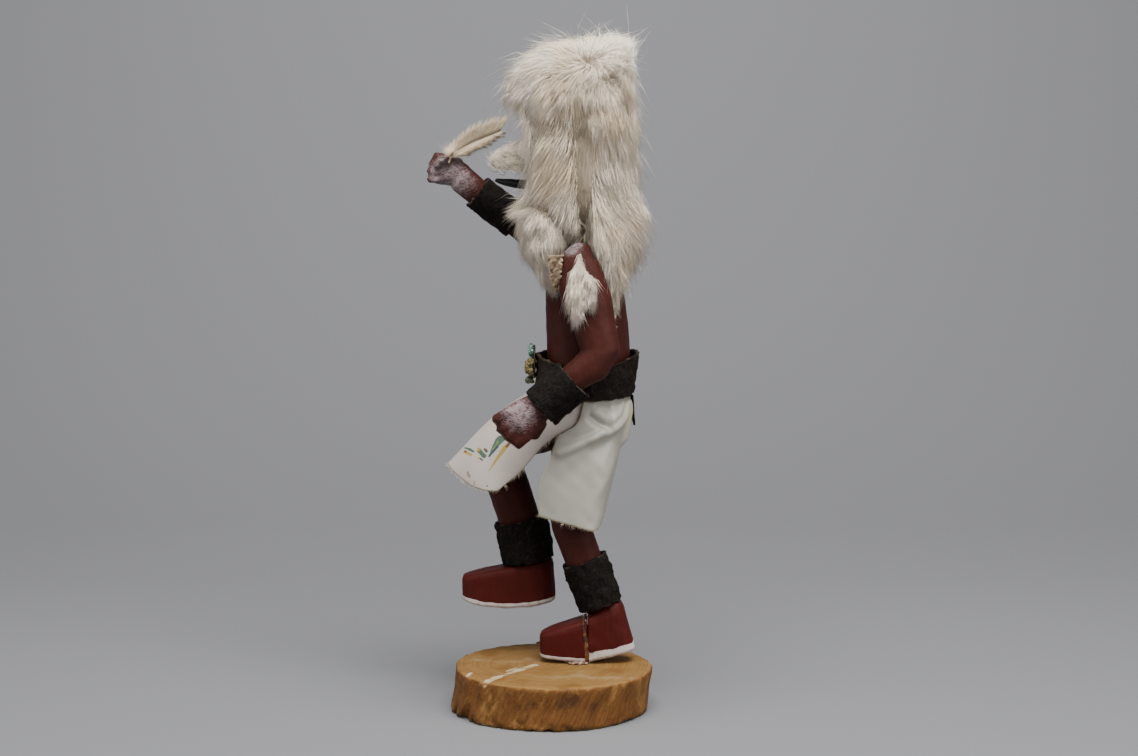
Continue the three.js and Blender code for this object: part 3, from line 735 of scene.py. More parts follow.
sleeve("left_cuff", (17, 11.2, 193.8), (17, -7.3, 177.6), (10.1, 10.4), (9.4, 9.8), -1.9, 51)
sleeve("right_cuff", (-91, -22.5, 275.5), (-88.1, -46, 293.6), (9.4, 9.2), (9, 8.8), math.pi, 53)
sleeve("left_anklet", (-11, 17.6, 85), (-11, 27.5, 58.5), (11.5, 11.7), (11.2, 11.3), 2.6, 55,
       rough=0.31)
sleeve("right_anklet", (-37, -19.8, 104), (-37, -15.2, 79.5), (11.8, 13.6), (11.6, 13.2), -0.82, 57,
       flap_round=0.4, rough=0.3)

# %% [markdown]
# ## White leather
#
# Kilt and apron are thin white leather, one side smooth and satiny, the other like felt.
# Cloth simulation would lose the exact way the real ones are folded, so each is a patch
# stretched between measured edge curves, with its folds pressed in, and is then
# given its thickness by Solidify.

# %% Lay out a sheet
SKIN = 1.2


def flat_sheet(name, patch, rows, columns):
    """A sheet over patch(down, round), with a UV map that holds down and round."""
    down, across = np.meshgrid(np.linspace(0, 1, rows), np.linspace(0, 1, columns), indexing="ij")
    points = patch(down, across).reshape(-1, 3)
    mesh = bpy.data.meshes.new(name)
    mesh.from_pydata((points * MM).tolist(), [], grid_faces(rows, columns))
    uv = np.stack([across.ravel(), down.ravel()], -1)
    corners = np.empty(len(mesh.loops), np.int64)
    mesh.loops.foreach_get("vertex_index", corners)
    mesh.uv_layers.new(name="cut").data.foreach_set("uv", uv[corners].astype(np.float32).ravel())
    piece = new_piece(name, mesh)
    rim = np.minimum.reduce([down, 1 - down, across, 1 - across]).ravel()
    paint_mask(piece, "edge", (rim < 1e-6).astype(float))
    area = sum(face.area for face in mesh.polygons)
    thick = piece.modifiers.new("thick", "SOLIDIFY")
    thick.thickness = SKIN * MM
    thick.offset = 0
    settle(piece)
    print(name, "cut area", round(area * 1e6), "mm2")
    return piece, area


def line_mix(a, b, t):
    return a + (b - a) * t[..., None]


# %% The kilt
ROUND_FROM, ROUND_TO = -0.02, 1.02
KILT_HEM = [(5, -8, 113), (9, 9, 108.8), (8, 23.5, 105), (-6, 28, 109.5), (-30, 29, 116),
            (-52, 25, 118), (-57, 8, 121)]
KILT_NEAR = [(3.4, 13.4, 166), (3.2, 2.8, 158.5), (4, -1, 148), (5, -8.2, 129)]
KILT_FAR = [(-56, 12, 155), (-58, 6, 135)]


def kilt_top(angle):
    back = np.maximum(np.sin(angle), 0)
    return belt_point(angle, -2.6 - back, mix(178.6, 180.2, back))


def kilt_patch(down, across):
    angle = mix(ROUND_FROM, ROUND_TO, across) * math.pi
    ends = np.array([0.0, 1.0])
    top_ends = kilt_top(mix(ROUND_FROM, ROUND_TO, ends) * math.pi)
    hem_line = smooth_path(KILT_HEM)
    hem_ends = hem_line(ends)
    near = smooth_path([top_ends[0], *KILT_NEAR, hem_ends[0]])
    far = smooth_path([top_ends[1], *KILT_FAR, hem_ends[1]])
    point = line_mix(kilt_top(angle), hem_line(across), down)
    for edge, weight in ((near, (1 - across) ** 3), (far, across**3)):
        first, last = edge(np.array(0.0)), edge(np.array(1.0))
        bow = edge(down) - (first + (last - first) * down[..., None])
        point = point + bow * weight[..., None]
    out = 3 * np.sin(math.pi * down) * np.sin(math.pi * across) + kilt_folds(down, across)
    direction = np.stack([np.cos(angle), np.sin(angle), np.zeros_like(angle)], -1)
    return point + direction * out[..., None]


# %% Folds pressed into the kilt
def crease(spot, line, width, depth):
    """A fold along a line of (across, down) places on the crease grid.

    The grid only says where the folds lie. It is wider than the real sheet, whose size is
    measured from its faces.
    """
    gap = np.full(spot.shape[:-1], np.inf)
    for a, b in zip(np.array(line[:-1], float), np.array(line[1:], float)):
        part = np.clip((spot - a) @ (b - a) / ((b - a) @ (b - a)), 0, 1)
        gap = np.minimum(gap, np.linalg.norm(spot - a - part[..., None] * (b - a), axis=-1))
    return depth * np.exp(-((gap / width) ** 2))


CREASE_GRID = (150, 70)
KILT_CREASES = [
    ([(60, 2), (55, 10), (43, 16), (31, 19.5), (19, 28.5), (5, 38)], 3.6, 3.3),
    ([(50, 2), (45, 8), (37, 11.5)], 2.6, 1.9),
    ([(10, 9), (22, 12.8), (36, 16.6)], 2.3, -3.0),
    ([(18, 3), (30, 5)], 4.0, -1.6),
    ([(19, 47), (30, 35), (42, 25)], 5.0, -1.3),
    ([(68, 6), (70, 17), (71, 24)], 4.5, 3.4),
    ([(40, 58), (52, 40)], 5.0, 0.6),
]


def kilt_folds(down, across):
    spot = np.stack([across * CREASE_GRID[0], down * CREASE_GRID[1]], -1)
    folds = sum(crease(spot, *fold) for fold in KILT_CREASES)
    return folds * ease(down / 0.06) + 0.4 * np.sin(across * 17 + down * 5) * down


kilt, kilt_area = flat_sheet("kilt_leather", kilt_patch, 64, 120)

# %% The apron
RIDGE = 0.62
APRON_RIDGE = [(-41, -8.4, 182.6), (-41, -34, 164.5), (-42, -62, 135.8)]
APRON_NEAR = [(-1.5, 17.2, 177.4), (0.6, 13, 165.5), (-0.8, 1.6, 158.4), (-3.5, -5.9, 152.4),
              (-7, -19, 137), (-8, -32.4, 125.5)]
APRON_FAR = [(-47.6, 5, 182), (-55, -20, 158), (-60, -38, 128)]


def apron_patch(down, across):
    near, far = smooth_path(APRON_NEAR), smooth_path(APRON_FAR)
    centre = smooth_path(APRON_RIDGE)(down)
    on_near = across < RIDGE
    reach = np.abs(across - RIDGE) / np.where(on_near, RIDGE, 1 - RIDGE)
    edge = np.where(on_near[..., None], near(down), far(down))
    swing = reach * math.pi / 2
    fall = 1 - np.cos(swing)
    corner = np.where(on_near, 6 * down**6 * np.sin(2 * swing), 0)
    x = mix(centre[..., 0], edge[..., 0], np.sin(swing))
    y = mix(centre[..., 1], edge[..., 1], fall) + corner
    z = mix(centre[..., 2], edge[..., 2], fall) - corner
    ripple = 0.5 * np.sin(5 * across + 7 * down) * down
    return np.stack([x + ripple, y, z + ripple * 0.4], -1)


apron, apron_area = flat_sheet("apron_leather", apron_patch, 72, 80)

# %% [markdown]
# ## Fur
#
# Real fur is thousands of fine hairs that lie along the hide, gather into locks and lift
# at their tips. Particle hair would be quick, but it can't be exported, so Geometry
# Nodes scatter the roots over a hidden hide and grow one thin closed cone from each. The
# hide carries four painted values for every root: which way the hair lies, how long it
# is, how far it lifts, and how thick it grows.

# %% The tree that grows hair
HAIR_SOCKETS = {
    "Density": (FLOAT, 600000.0), "Width": (FLOAT, 0.00026), "Lock Size": (FLOAT, 0.007),
    "Lock Pull": (FLOAT, 0.4), "Wave": (FLOAT, 0.5), "Frizz": (FLOAT, 0.16),
    "Settle": (FLOAT, 0.8), "Droop": (FLOAT, 0.1), "Segments": ("NodeSocketInt", 2),
    "Seed": ("NodeSocketInt", 1), "Material": ("NodeSocketMaterial", None),
}


def hair_tree():
    tree = bpy.data.node_groups.new("Grow hair", "GeometryNodeTree")
    tree.interface.new_socket("Geometry", in_out="INPUT", socket_type="NodeSocketGeometry")
    for label, (kind, value) in HAIR_SOCKETS.items():
        socket = tree.interface.new_socket(label, in_out="INPUT", socket_type=kind)
        if value is not None:
            socket.default_value = value
    tree.interface.new_socket("Geometry", in_out="OUTPUT", socket_type="NodeSocketGeometry")
    w = Wires(tree)
    given, out = w.node("NodeGroupInput").outputs, w.node("NodeGroupOutput").inputs

    def named(name, kind="FLOAT"):
        made = w.node("GeometryNodeInputNamedAttribute", {"Name": name}, data_type=kind)
        return made.outputs["Attribute"]

    def store(geometry, name, value, kind="FLOAT"):
        values = {"Geometry": geometry, "Name": name, "Value": value}
        made = w.node("GeometryNodeStoreNamedAttribute", values, data_type=kind, domain="POINT")
        return made.outputs["Geometry"]

    def dice(step, low=0.0, high=1.0):
        made = w.node("FunctionNodeRandomValue", data_type="FLOAT")
        w.put(made.inputs[2], low)
        w.put(made.inputs[3], high)
        w.put(made.inputs["Seed"], w.plus(given["Seed"], step))
        return made.outputs[1]

    thick = w.times(given["Density"], named("thick"))
    scatter = w.node("GeometryNodeDistributePointsOnFaces", distribute_method="RANDOM")
    w.put(scatter.inputs["Mesh"], given["Geometry"])
    w.put(scatter.inputs["Density"], thick)
    w.put(scatter.inputs["Seed"], given["Seed"])
    root = w.node("GeometryNodeInputPosition").outputs[0]
    inverse = w.math("DIVIDE", 1.0, given["Lock Size"])
    cell = w.cells(root, inverse)["Position"]
    gather = w.scaled(w.vector("SUBTRACT", cell, root), given["Lock Pull"])
    sway = w.cloud(cell, 90.0, 1.0)
    sway = w.scaled(w.vector("SUBTRACT", sway, (0.5, 0.5, 0.5)), given["Wave"])
    scatter_bend = w.node("FunctionNodeRandomValue", data_type="FLOAT_VECTOR")
    w.put(scatter_bend.inputs[0], (-1, -1, -1))
    w.put(scatter_bend.inputs[1], (1, 1, 1))
    w.put(scatter_bend.inputs["Seed"], w.plus(given["Seed"], 7.0))
    frizz = w.scaled(scatter_bend.outputs[0], given["Frizz"])
    length = w.times(named("hair_length"), dice(1, 0.65, 1.12))
    points = store(scatter.outputs["Points"], "s_root", root, "FLOAT_VECTOR")
    points = store(points, "s_rise", scatter.outputs["Normal"], "FLOAT_VECTOR")
    points = store(points, "s_gather", gather, "FLOAT_VECTOR")
    points = store(points, "s_bend", w.vector("ADD", sway, frizz), "FLOAT_VECTOR")
    points = store(points, "s_length", length)
    points = store(points, "s_lift", w.times(named("lift"), dice(2, 0.5, 1.5)))
    points = store(points, "tone", dice(3))
    sizes = {"Vertices": 3, "Side Segments": given["Segments"], "Radius Top": 0.0,
             "Radius Bottom": 1.0, "Depth": 1.0}
    cone = w.node("GeometryNodeMeshCone", sizes, fill_type="NGON")
    hair = store(cone.outputs["Mesh"], "s_local", root, "FLOAT_VECTOR")
    grown = w.node("GeometryNodeInstanceOnPoints", {"Points": points, "Instance": hair}).outputs[0]
    grown = w.node("GeometryNodeRealizeInstances", {"Geometry": grown}).outputs[0]

    local = w.axes(named("s_local", "FLOAT_VECTOR"))
    t = w.math("MINIMUM", w.math("MAXIMUM", local["Z"], 0.0), 1.0)
    t2 = w.times(t, t)
    rise, flow = named("s_rise", "FLOAT_VECTOR"), named("flow", "FLOAT_VECTOR")
    lift = named("s_lift")
    settled = w.times(given["Settle"], -1.0)
    up = w.times(lift, w.line(t2, settled, t))
    on = w.plus(w.times(t, w.minus(1.0, lift)), w.times(lift, t2))
    path = w.vector("ADD", w.scaled(rise, up), w.scaled(flow, on))
    path = w.vector("ADD", path, w.scaled(named("s_bend", "FLOAT_VECTOR"), t2))
    sag = w.node("ShaderNodeCombineXYZ", {"Z": w.times(given["Droop"], -1.0)}).outputs[0]
    path = w.vector("ADD", path, w.scaled(sag, t2))
    path = w.scaled(path, named("s_length"))
    close = w.scaled(named("s_gather", "FLOAT_VECTOR"), w.math("POWER", t, 1.4))
    spot = w.vector("ADD", named("s_root", "FLOAT_VECTOR"), w.vector("ADD", path, close))
    slope_up = w.line(w.times(t, settled), 2.0, 1.0)
    slope_up = w.times(lift, slope_up)
    slope_on = w.plus(w.minus(1.0, lift), w.times(lift, w.times(t, 2.0)))
    heading = w.vector("ADD", w.scaled(rise, slope_up), w.scaled(flow, slope_on))
    heading = w.vector("NORMALIZE", heading)
    side = w.vector("NORMALIZE", w.vector("CROSS_PRODUCT", rise, flow))
    other = w.vector("CROSS_PRODUCT", heading, side)
    full = w.times(w.line(t, 1.4, 1.0), w.times(given["Width"], 0.5))
    full = w.times(full, w.line(named("tone"), 0.6, 0.7))
    section = w.vector("ADD", w.scaled(side, local["X"]), w.scaled(other, local["Y"]))
    spot = w.vector("ADD", spot, w.scaled(section, full))
    shaped = w.node("GeometryNodeSetPosition", {"Geometry": grown, "Position": spot}).outputs[0]
    shaped = store(shaped, "along", t)
    values = {"Geometry": shaped, "Material": given["Material"]}
    w.put(out["Geometry"], w.node("GeometryNodeSetMaterial", values).outputs[0])
    return tree


GROW_HAIR = hair_tree()


def set_hair(hide, length, lift):
    """Stores the hair's length in millimetres and its lift at every point of a hide."""
    every = np.ones(len(hide.data.vertices))
    paint_mask(hide, "hair_length", every * length * MM)
    paint_mask(hide, "lift", every * lift)


def remove_layers(piece, wanted):
    for name in [layer.name for layer in piece.data.attributes]:
        if wanted(name):
            piece.data.attributes.remove(piece.data.attributes[name])


SPENT_LAYERS = ("thick", "flow", "hair_length", "lift", "edge")


def grow(hide, name, slot, material, thick, count, **sizes):
    """Grows about count hairs where thick is 1 on the hide, and returns them as a piece."""
    paint_mask(hide, "thick", thick)
    faces = np.array([face.area for face in hide.data.polygons])
    share = np.array([thick[list(face.vertices)].mean() for face in hide.data.polygons])
    piece = new_piece(name, hide.data.copy())
    values = {"Density": count / max((faces * share).sum(), 1e-9), "Material": material, **sizes}
    grower = piece.modifiers.new("hair", "NODES")
    grower.node_group = GROW_HAIR
    for item in GROW_HAIR.interface.items_tree:
        if item.in_out == "INPUT" and item.name in values:
            grower[item.identifier] = values[item.name]
    settle(piece)
    remove_layers(piece, lambda layer: layer.startswith("s_") or layer in SPENT_LAYERS)
    print(name, len(piece.data.polygons), "faces")
    return dress(piece, material)


# %% Materials for hide, hair and white leather
YELLOWED = np.array([0.93, 0.86, 0.72])
GROOVE_SHADE, LIP_BLACK = (0.17, 0.135, 0.09), (0.005, 0.004, 0.004)


def fur_material(name, root_color, tip_color, parted=False):
    """Hair that is darker at its root; parted shades the groove over the shoulder."""
    constants = {"Roughness": 0.55, "Specular_IOR_Level": 0.25, "Sheen_Weight": 0.15}
    material, w, shader = start_material(name, **constants)
    where = w.place()
    cloud = w.noise(where, 28, 3)
    lock = w.noise(where, 160, 2)
    tone = w.plus(w.times(mask(w, "tone"), 0.3), w.times(lock, 0.3))
    tip = w.blend(w.step(cloud, 0.42, 0.68), tip_color, tuple(np.array(tip_color) * YELLOWED))
    shade = w.blend(w.math("POWER", mask(w, "along"), 0.6), root_color, tip)
    shade = w.scaled(shade, w.plus(tone, 0.75))
    if parted:
        axes = w.axes(where)
        gap = w.math("ABSOLUTE", w.minus(axes["Y"], w.line(cloud, 0.012, 0.0115)))
        tall = w.times(w.step(axes["Z"], 0.252, 0.266), w.step(axes["Z"], 0.352, 0.334))
        groove = w.times(w.times(w.step(gap, 0.0058, 0.0008), tall), w.step(axes["X"], -0.01, 0))
        shade = w.blend(w.times(groove, 0.9), shade, GROOVE_SHADE)
    coat(w, shader, shade)
    return material


FUR = fur_material("white fur", (0.72, 0.62, 0.49), (0.96, 0.85, 0.715), parted=True)


def hide_material(name, color):
    material, w, shader = start_material(name, Roughness=0.9, Specular_IOR_Level=0.2)
    where = w.place()
    strand = w.noise(w.stretch(where, (900, 900, 120)), 1.0, 4)
    shade = w.scaled(color, w.line(strand, 0.9, 0.5))
    coat(w, shader, w.blend(mask(w, "nose"), shade, LIP_BLACK))
    bump(w, shader, strand, 0.7, 0.6)
    return material


# The hide under the hair is dark brown with streaks: painted shade for the deep, packed roots of the
# fur.
UNDERFUR_SHADE = hide_material("underfur", (0.30, 0.245, 0.175))
NOSE, _, _ = start_material("dark lip hair", Roughness=0.5, Base_Color=(0.02, 0.018, 0.017, 1))

# %% [markdown]
# ## The pelt over the head
#
# One skin is thrown over the head: a thick forelock that curls forward over the brow,
# hair standing up at the back of the crown, and a curtain that parts over the shoulder
# and hangs to the shoulder blades. The hide lies a few millimetres under the packed
# pelt, so that the lifted hair fills the pelt's real size.

# %% The hide under the hair
def sunk_hide(node, name, voxel, sink):
    """A fine copy of a packed fur solid, sunk by sink(points, normals) millimetres."""
    hide = worked_copy(node, name, voxel, 8)
    points, normals = points_of(hide), normals_of(hide)
    press_out(hide, -sink(points / MM, normals))
    add_smoothing(hide, 6)
    return settle(hide)


def parting_at(p, width):
    """1 along the line over the left shoulder where the curtain parts."""
    x, y, z = p.T
    groove = bump_at(y, 17 + (z - 310) * 0.03, width)
    return groove * ease((z - 256) / 16) * ease((348 - z) / 10) * (x > BODY_X)


def pelt_sink(p, n):
    x, y, z = p.T
    curtain = 2.6 + 3.4 * ease((z - 225) / 60) + 8 * parting_at(p, 3.4)
    curtain = curtain + 3.5 * bump_at(z, 336, 6) * ease((30 - y) / 14)
    crown = mix(7.2, 8.6, ease((y - 2) / 22))
    return mix(curtain, crown, ease((z - 336) / 14))


pelt = sunk_hide("fur_pelt", "pelt_hide", 2.0, pelt_sink)
spots = points_of(pelt)
y, z = spots[:, 1] / MM, spots[:, 2] / MM
spots[:, 1] -= 5 * ease((274 - z) / 34) * ease((y - 30) / 12) * MM
spots[:, 2] -= 4 * ease((236 - z) / 12) * MM
move_points(pelt, spots)

# %% Which way the pelt's hair lies
PELT_LEVELS = np.array([
    (219.6, 33, 41, 16), (228, 30, 45, 27), (240, 26, 48, 34), (256, 18, 50.5, 37), (274, 5, 51.5, 38),
    (290, -10, 50.5, 37), (302, -21, 49, 36), (322, -21, 48.5, 36), (341, -24, 49.5, 38),
    (353, -31, 50, 39.5), (370, -26, 49, 35), (382, -12, 47, 27), (388, 12, 40, 13),
])


def pelt_radius(p):
    """1 on the pelt's outer wall and 0 on its axis, at each point's own height."""
    front, back, half = (np.interp(p[:, 2], PELT_LEVELS[:, 0], PELT_LEVELS[:, k]) for k in (1, 2, 3))
    middle, deep = (front + back) / 2, (back - front) / 2
    return np.hypot((p[:, 0] - BODY_X) / half, (p[:, 1] - middle) / deep)


WHORL_FROM, WHORL_TO, WHORL_Z = 20, 36, 369


def lay_along(normals, directions):
    return unit(directions - (directions * normals).sum(1)[:, None] * normals)


def pelt_flow(p, n):
    """Crown hair fans out from a short line near the top; curtain hair falls below the brow."""
    x, y, z = p.T
    side = np.sign(x - BODY_X)
    sweep = mix(-0.5, 0.3, ease((y - 12) / 10)) * ease((z - 235) / 50)
    drop = np.stack([side * 0.1, sweep + 0.6 * back_tuft(p), -np.ones_like(z)], 1)
    behind = (y - np.clip(y, WHORL_FROM, WHORL_TO)) / 25 + 0.3 * soft_noise(p * MM, 18, 77)
    above = (z - WHORL_Z) / 25 + 0.25 * soft_noise(p * MM, 16, 76)
    fall = 0.35 * np.maximum(-behind, 0) * ease((22 - y) / 24)
    fall = fall + 0.6 * ease((0.5 - n[:, 2]) / 0.5) * ease(-n[:, 1])
    crown_way = np.stack([side * 0.05, behind * 0.8, above - fall], 1)
    crown_way /= np.maximum(np.linalg.norm(crown_way, axis=1), 0.3)[:, None]
    direction = mix(drop, crown_way, ease((z - 334) / 14)[:, None])
    drift = [soft_noise(p * MM, 30, 71), soft_noise(p * MM, 26, 72), 0.5 * soft_noise(p * MM, 24, 73)]
    return lay_along(n, direction + 0.3 * np.stack(drift, 1))


def back_tuft(p):
    """Where a tuft sticks out behind the neck."""
    return bump_at(p[:, 2], 293, 9) * ease((p[:, 1] - 34) / 12)


def store_flow(piece, flow):
    layer = piece.data.attributes.new("flow", "FLOAT_VECTOR", "POINT")
    layer.data.foreach_set("vector", flow.astype(np.float32).ravel())


p, n = points_of(pelt) / MM, normals_of(pelt)
height = p[:, 2]
outer = ease((pelt_radius(p) - 0.62) / 0.12)
on_top = ease((height - 374) / 8) * (n[:, 2] > 0.2)
outer = np.maximum(outer, on_top)
store_flow(pelt, pelt_flow(p, n))
crown_part = ease((height - 334) / 10)
fringe = ease((-8 - p[:, 1]) / 10) * ease((358 - height) / 10) * crown_part
standing = ease((p[:, 1] - 14) / 14) * ease((height - 364) / 10)
whorl = bump_at(np.hypot(p[:, 1] - np.clip(p[:, 1], WHORL_FROM, WHORL_TO), height - WHORL_Z), 0, 9)
rear = ease((p[:, 1] - 30) / 12)
length = mix(22, 15, crown_part) - 16 * ease((258 - height) / 34) - 5 * fringe
length = length - 6 * rear * ease((285 - height) / 25)
for shorter in (
    0.6 * parting_at(p, 3.6),
    0.3 * crown_part * ease((-2 - p[:, 1]) / 10),
    0.3 * rear * ease((height - 366) / 10),
    0.5 * ease((4 - p[:, 1]) / 10) * ease((302 - height) / 14),
):
    length = length * (1 - shorter)
lift = mix(0.42, 0.55, crown_part) + 0.25 * standing + 0.1 * whorl - 0.2 * fringe
lift = lift + 0.3 * back_tuft(p) - 0.2 * rear * ease((290 - height) / 25)
set_hair(pelt, length, lift)

# %% Grow the pelt's hair
near_side = ease((p[:, 0] - BODY_X) / 6 + 0.5)
grown = outer * (1 - 0.9 * parting_at(p, 2.4)) * (1 + 0.8 * whorl)
SOFT = {"Width": 0.0003, "Settle": 0.45, "Lock Pull": 0.4, "Frizz": 0.2}
REGIONS = {
    "crown_fur_near": (crown_part * near_side, 11500, {**SOFT, "Droop": 0.25, "Seed": 11}),
    "crown_fur_far": (crown_part * (1 - near_side), 4500, {**SOFT, "Droop": 0.25, "Seed": 12}),
    "curtain_fur_near": ((1 - crown_part) * near_side, 13500, {**SOFT, "Seed": 13}),
    "curtain_fur_far": ((1 - crown_part) * (1 - near_side), 4800, {**SOFT, "Seed": 14}),
}
for name, (region, count, extra) in REGIONS.items():
    grow(pelt, name, "white_fur", FUR, grown * region, count, **extra)

# %% Loose wisps that stand off the pelt
set_hair(pelt, 17 - 12 * ease((256 - height) / 34), 0.85)
WISPS = {"Width": 0.00013, "Settle": 0.25, "Frizz": 0.35, "Wave": 0.9, "Lock Pull": 0.1, "Seed": 15}
grow(pelt, "loose_wisps", "white_fur", FUR, outer * (0.35 + crown_part), 1700, **WISPS)


# %% Dress the hide
def dress_hide(hide, node):
    """The hide stays under its hair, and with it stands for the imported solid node."""
    remove_layers(hide, lambda layer: layer == "flow")
    dress(hide, UNDERFUR_SHADE, replaced=[node])


dress_hide(pelt, "fur_pelt")

# %% The ruff
def ruff_sink(p, n):
    return 6.5 - 4 * ease((258 - p[:, 2]) / 16) - 2 * ease(n[:, 0])


ruff = sunk_hide("fur_ruff", "ruff_hide", 1.8, ruff_sink)
p, n = points_of(ruff) / MM, normals_of(ruff)
away = np.stack([(p[:, 0] - BODY_X) * 0.015, (p[:, 1] + 2) * 0.025 - 0.1, -0.9 + 0 * p[:, 0]], 1)
drift = np.stack([soft_noise(p * MM, 22, 74), soft_noise(p * MM, 20, 75), 0 * p[:, 0]], 1)
store_flow(ruff, lay_along(n, away + 0.3 * drift))
ruff_outer = ease((np.hypot((p[:, 0] - BODY_X) / 34, (p[:, 1] + 3) / 19) - 0.45) / 0.2)
set_hair(ruff, 13 - 7 * ease((258 - p[:, 2]) / 16), 0.55)
grow(ruff, "ruff_fur", "white_fur", FUR, ruff_outer, 7800, Seed=21, Width=0.0003, Droop=0.3)
dress_hide(ruff, "fur_ruff")

# %% The shoulder tuft
tuft = sunk_hide("shoulder_tuft", "tuft_hide", 0.9, lambda p, n: np.full(len(p), 2.6))
p, n = points_of(tuft) / MM, normals_of(tuft)
down = np.stack([0.15 + 0 * p[:, 0], 0.035 * (p[:, 1] - 17.5), -np.ones(len(p))], 1)
store_flow(tuft, lay_along(n, down))
lobes = 15 - 4 * ease((p[:, 1] - 15) / 4) - 6 * bump_at(p[:, 1], 17.5, 2)
lobes = lobes - 6 * ease((240 - p[:, 2]) / 10)
set_hair(tuft, lobes, 0.6)
TIGHT = {"Lock Size": 0.005, "Lock Pull": 0.6, "Frizz": 0.18, "Width": 0.00022, "Seed": 31}
grow(tuft, "tuft_fur", "white_fur", FUR, np.ones(len(p)), 3000, **TIGHT)
dress_hide(tuft, "shoulder_tuft")

# %% The muzzle
muzzle = carve("muzzle", 0.7, rounds=6, seed=33)
p, n = points_of(muzzle) / MM, normals_of(muzzle)
nose = ease(2 * bump_at(np.linalg.norm(p - np.array([BODY_X, -35, 311.6]), axis=1), 0, 3.2))
move_points(muzzle, (p - n * 2.2) * MM)
paint_mask(muzzle, "nose", nose)
forward = np.stack([0.3 * np.sign(p[:, 0] - BODY_X), -0.8 + 0 * p[:, 0], 0.35 + 0 * p[:, 0]], 1)
store_flow(muzzle, lay_along(n, forward))
set_hair(muzzle, 6.5 - 2.5 * nose, 1.3)
furry = ease((-8 - p[:, 1]) / 4) * (1 - ease(nose * 2)) * (n[:, 2] > -0.75)
lips = nose + 0.25 * bump_at(p[:, 1], -33, 4)
grow(muzzle, "muzzle_fur", "white_fur", FUR, furry, 3000, Seed=32, Width=0.00022, Frizz=0.5)
grow(muzzle, "nose_fur", "white_fur", NOSE, lips, 260, Seed=35, Width=0.0002)
dress_hide(muzzle, "muzzle")
jaw = carve("lower_jaw", 0.6, rounds=4, seed=34)
dress(jaw, BLACK_PAINT, replaced=["lower_jaw"])

# %% White leather for the kilt and the apron
def fuzz_edge(sheet, name, count, length):
    """Short loose fibres along a sheet's cut edge."""
    n = normals_of(sheet)
    store_flow(sheet, lay_along(n, np.array([0.2, -0.5, -1.0])))
    set_hair(sheet, length, 0.9)
    edge = np.empty(len(n), np.float32)
    sheet.data.attributes["edge"].data.foreach_get("value", edge)
    fibres = {"Width": 0.0001, "Frizz": 0.7, "Settle": 0.1, "Seed": 45}
    grow(sheet, name, "white_leather", FUR, edge.astype(float) ** 2, count, **fibres)
    remove_layers(sheet, lambda layer: layer in SPENT_LAYERS and layer != "edge")


OLD_GREEN = (0.36, 0.335, 0.19)


def white_leather(name, color, cut_edge, rough, nap):
    """Nap is how felted the shown side is, from 0 for satin."""
    material, w, shader = start_material(name, Specular_IOR_Level=0.45)
    where = w.place()
    pores = w.cells(where, 1400.0)["Distance"]
    cloud = w.noise(where, 45, 4)
    fuzz = w.noise(where, 2600, 3, 0.7)
    shade = w.scaled(color, w.line(cloud, 0.22, 0.88))
    shade = w.scaled(shade, w.line(fuzz, nap, 1 - nap / 2))
    shade = w.blend(w.times(mask(w, "aged"), 0.5), shade, OLD_GREEN)
    shade = w.blend(w.step(mask(w, "edge"), 0.3, 0.9), shade, cut_edge)
    coat(w, shader, shade, w.line(cloud, 0.2, rough))
    bump(w, shader, w.plus(w.times(pores, 0.4), w.times(fuzz, nap * 4)), 0.3, 0.15)
    return material, w, shader


# %% Finish the kilt
KILT_LEATHER, _, _ = white_leather(
    "satin white leather", (0.335, 0.315, 0.265), (0.46, 0.37, 0.22), 0.25, 0.2)
spots = points_of(kilt)
wrinkle = soft_noise(spots, 7, 47) * 0.12 + soft_noise(spots * np.array([1, 1, 0.4]), 3, 48) * 0.03
press_out(kilt, wrinkle)
spots = points_of(kilt) / MM
aged = bump_at(spots[:, 2], 165, 12) * ease((spots[:, 1] - 40) / 3) * (spots[:, 0] > BODY_X - 10)
paint_mask(kilt, "aged", aged)
fuzz_edge(kilt, "kilt_fuzz", 900, 1.1)
dress(kilt, KILT_LEATHER, replaced=["kilt"])

# %% [markdown]
# The apron is painted with short tapered dashes of earth colours. Painting them into an
# image would fix their sharpness, so each is a line on the sheet with a start, an end and
# a width, and a small noise makes its edge waver.

# %% Dashes of paint
def dash_group():
    tree, w, given, out = make_group(
        "Painted dash",
        [("Spot", VECTOR, (0, 0, 0)), ("Start", VECTOR, (0, 0, 0)), ("End", VECTOR, (1, 0, 0)),
         ("Half Width", FLOAT, 0.6), ("Taper", FLOAT, 0.0)],
        [("Mask", FLOAT)],
    )
    spot = w.stretch(given["Spot"], (1, 1, 0))
    waver = w.cloud(spot, 0.9, 3.0)
    spot = w.vector("ADD", spot, w.scaled(w.vector("SUBTRACT", waver, (0.5, 0.5, 0)), 0.9))
    run = w.vector("SUBTRACT", given["End"], given["Start"])
    here = w.vector("SUBTRACT", w.stretch(spot, (1, 1, 0)), given["Start"])
    onto, whole = w.vector("DOT_PRODUCT", here, run), w.vector("DOT_PRODUCT", run, run)
    part = w.math("DIVIDE", onto, whole, clamp=True)
    away = w.vector("LENGTH", w.vector("SUBTRACT", here, w.scaled(run, part)))
    width = w.times(given["Half Width"], w.line(w.times(part, given["Taper"]), -1.0, 1.0))
    w.put(out["Mask"], w.step(w.minus(away, width), 0.12, -0.12))
    return tree


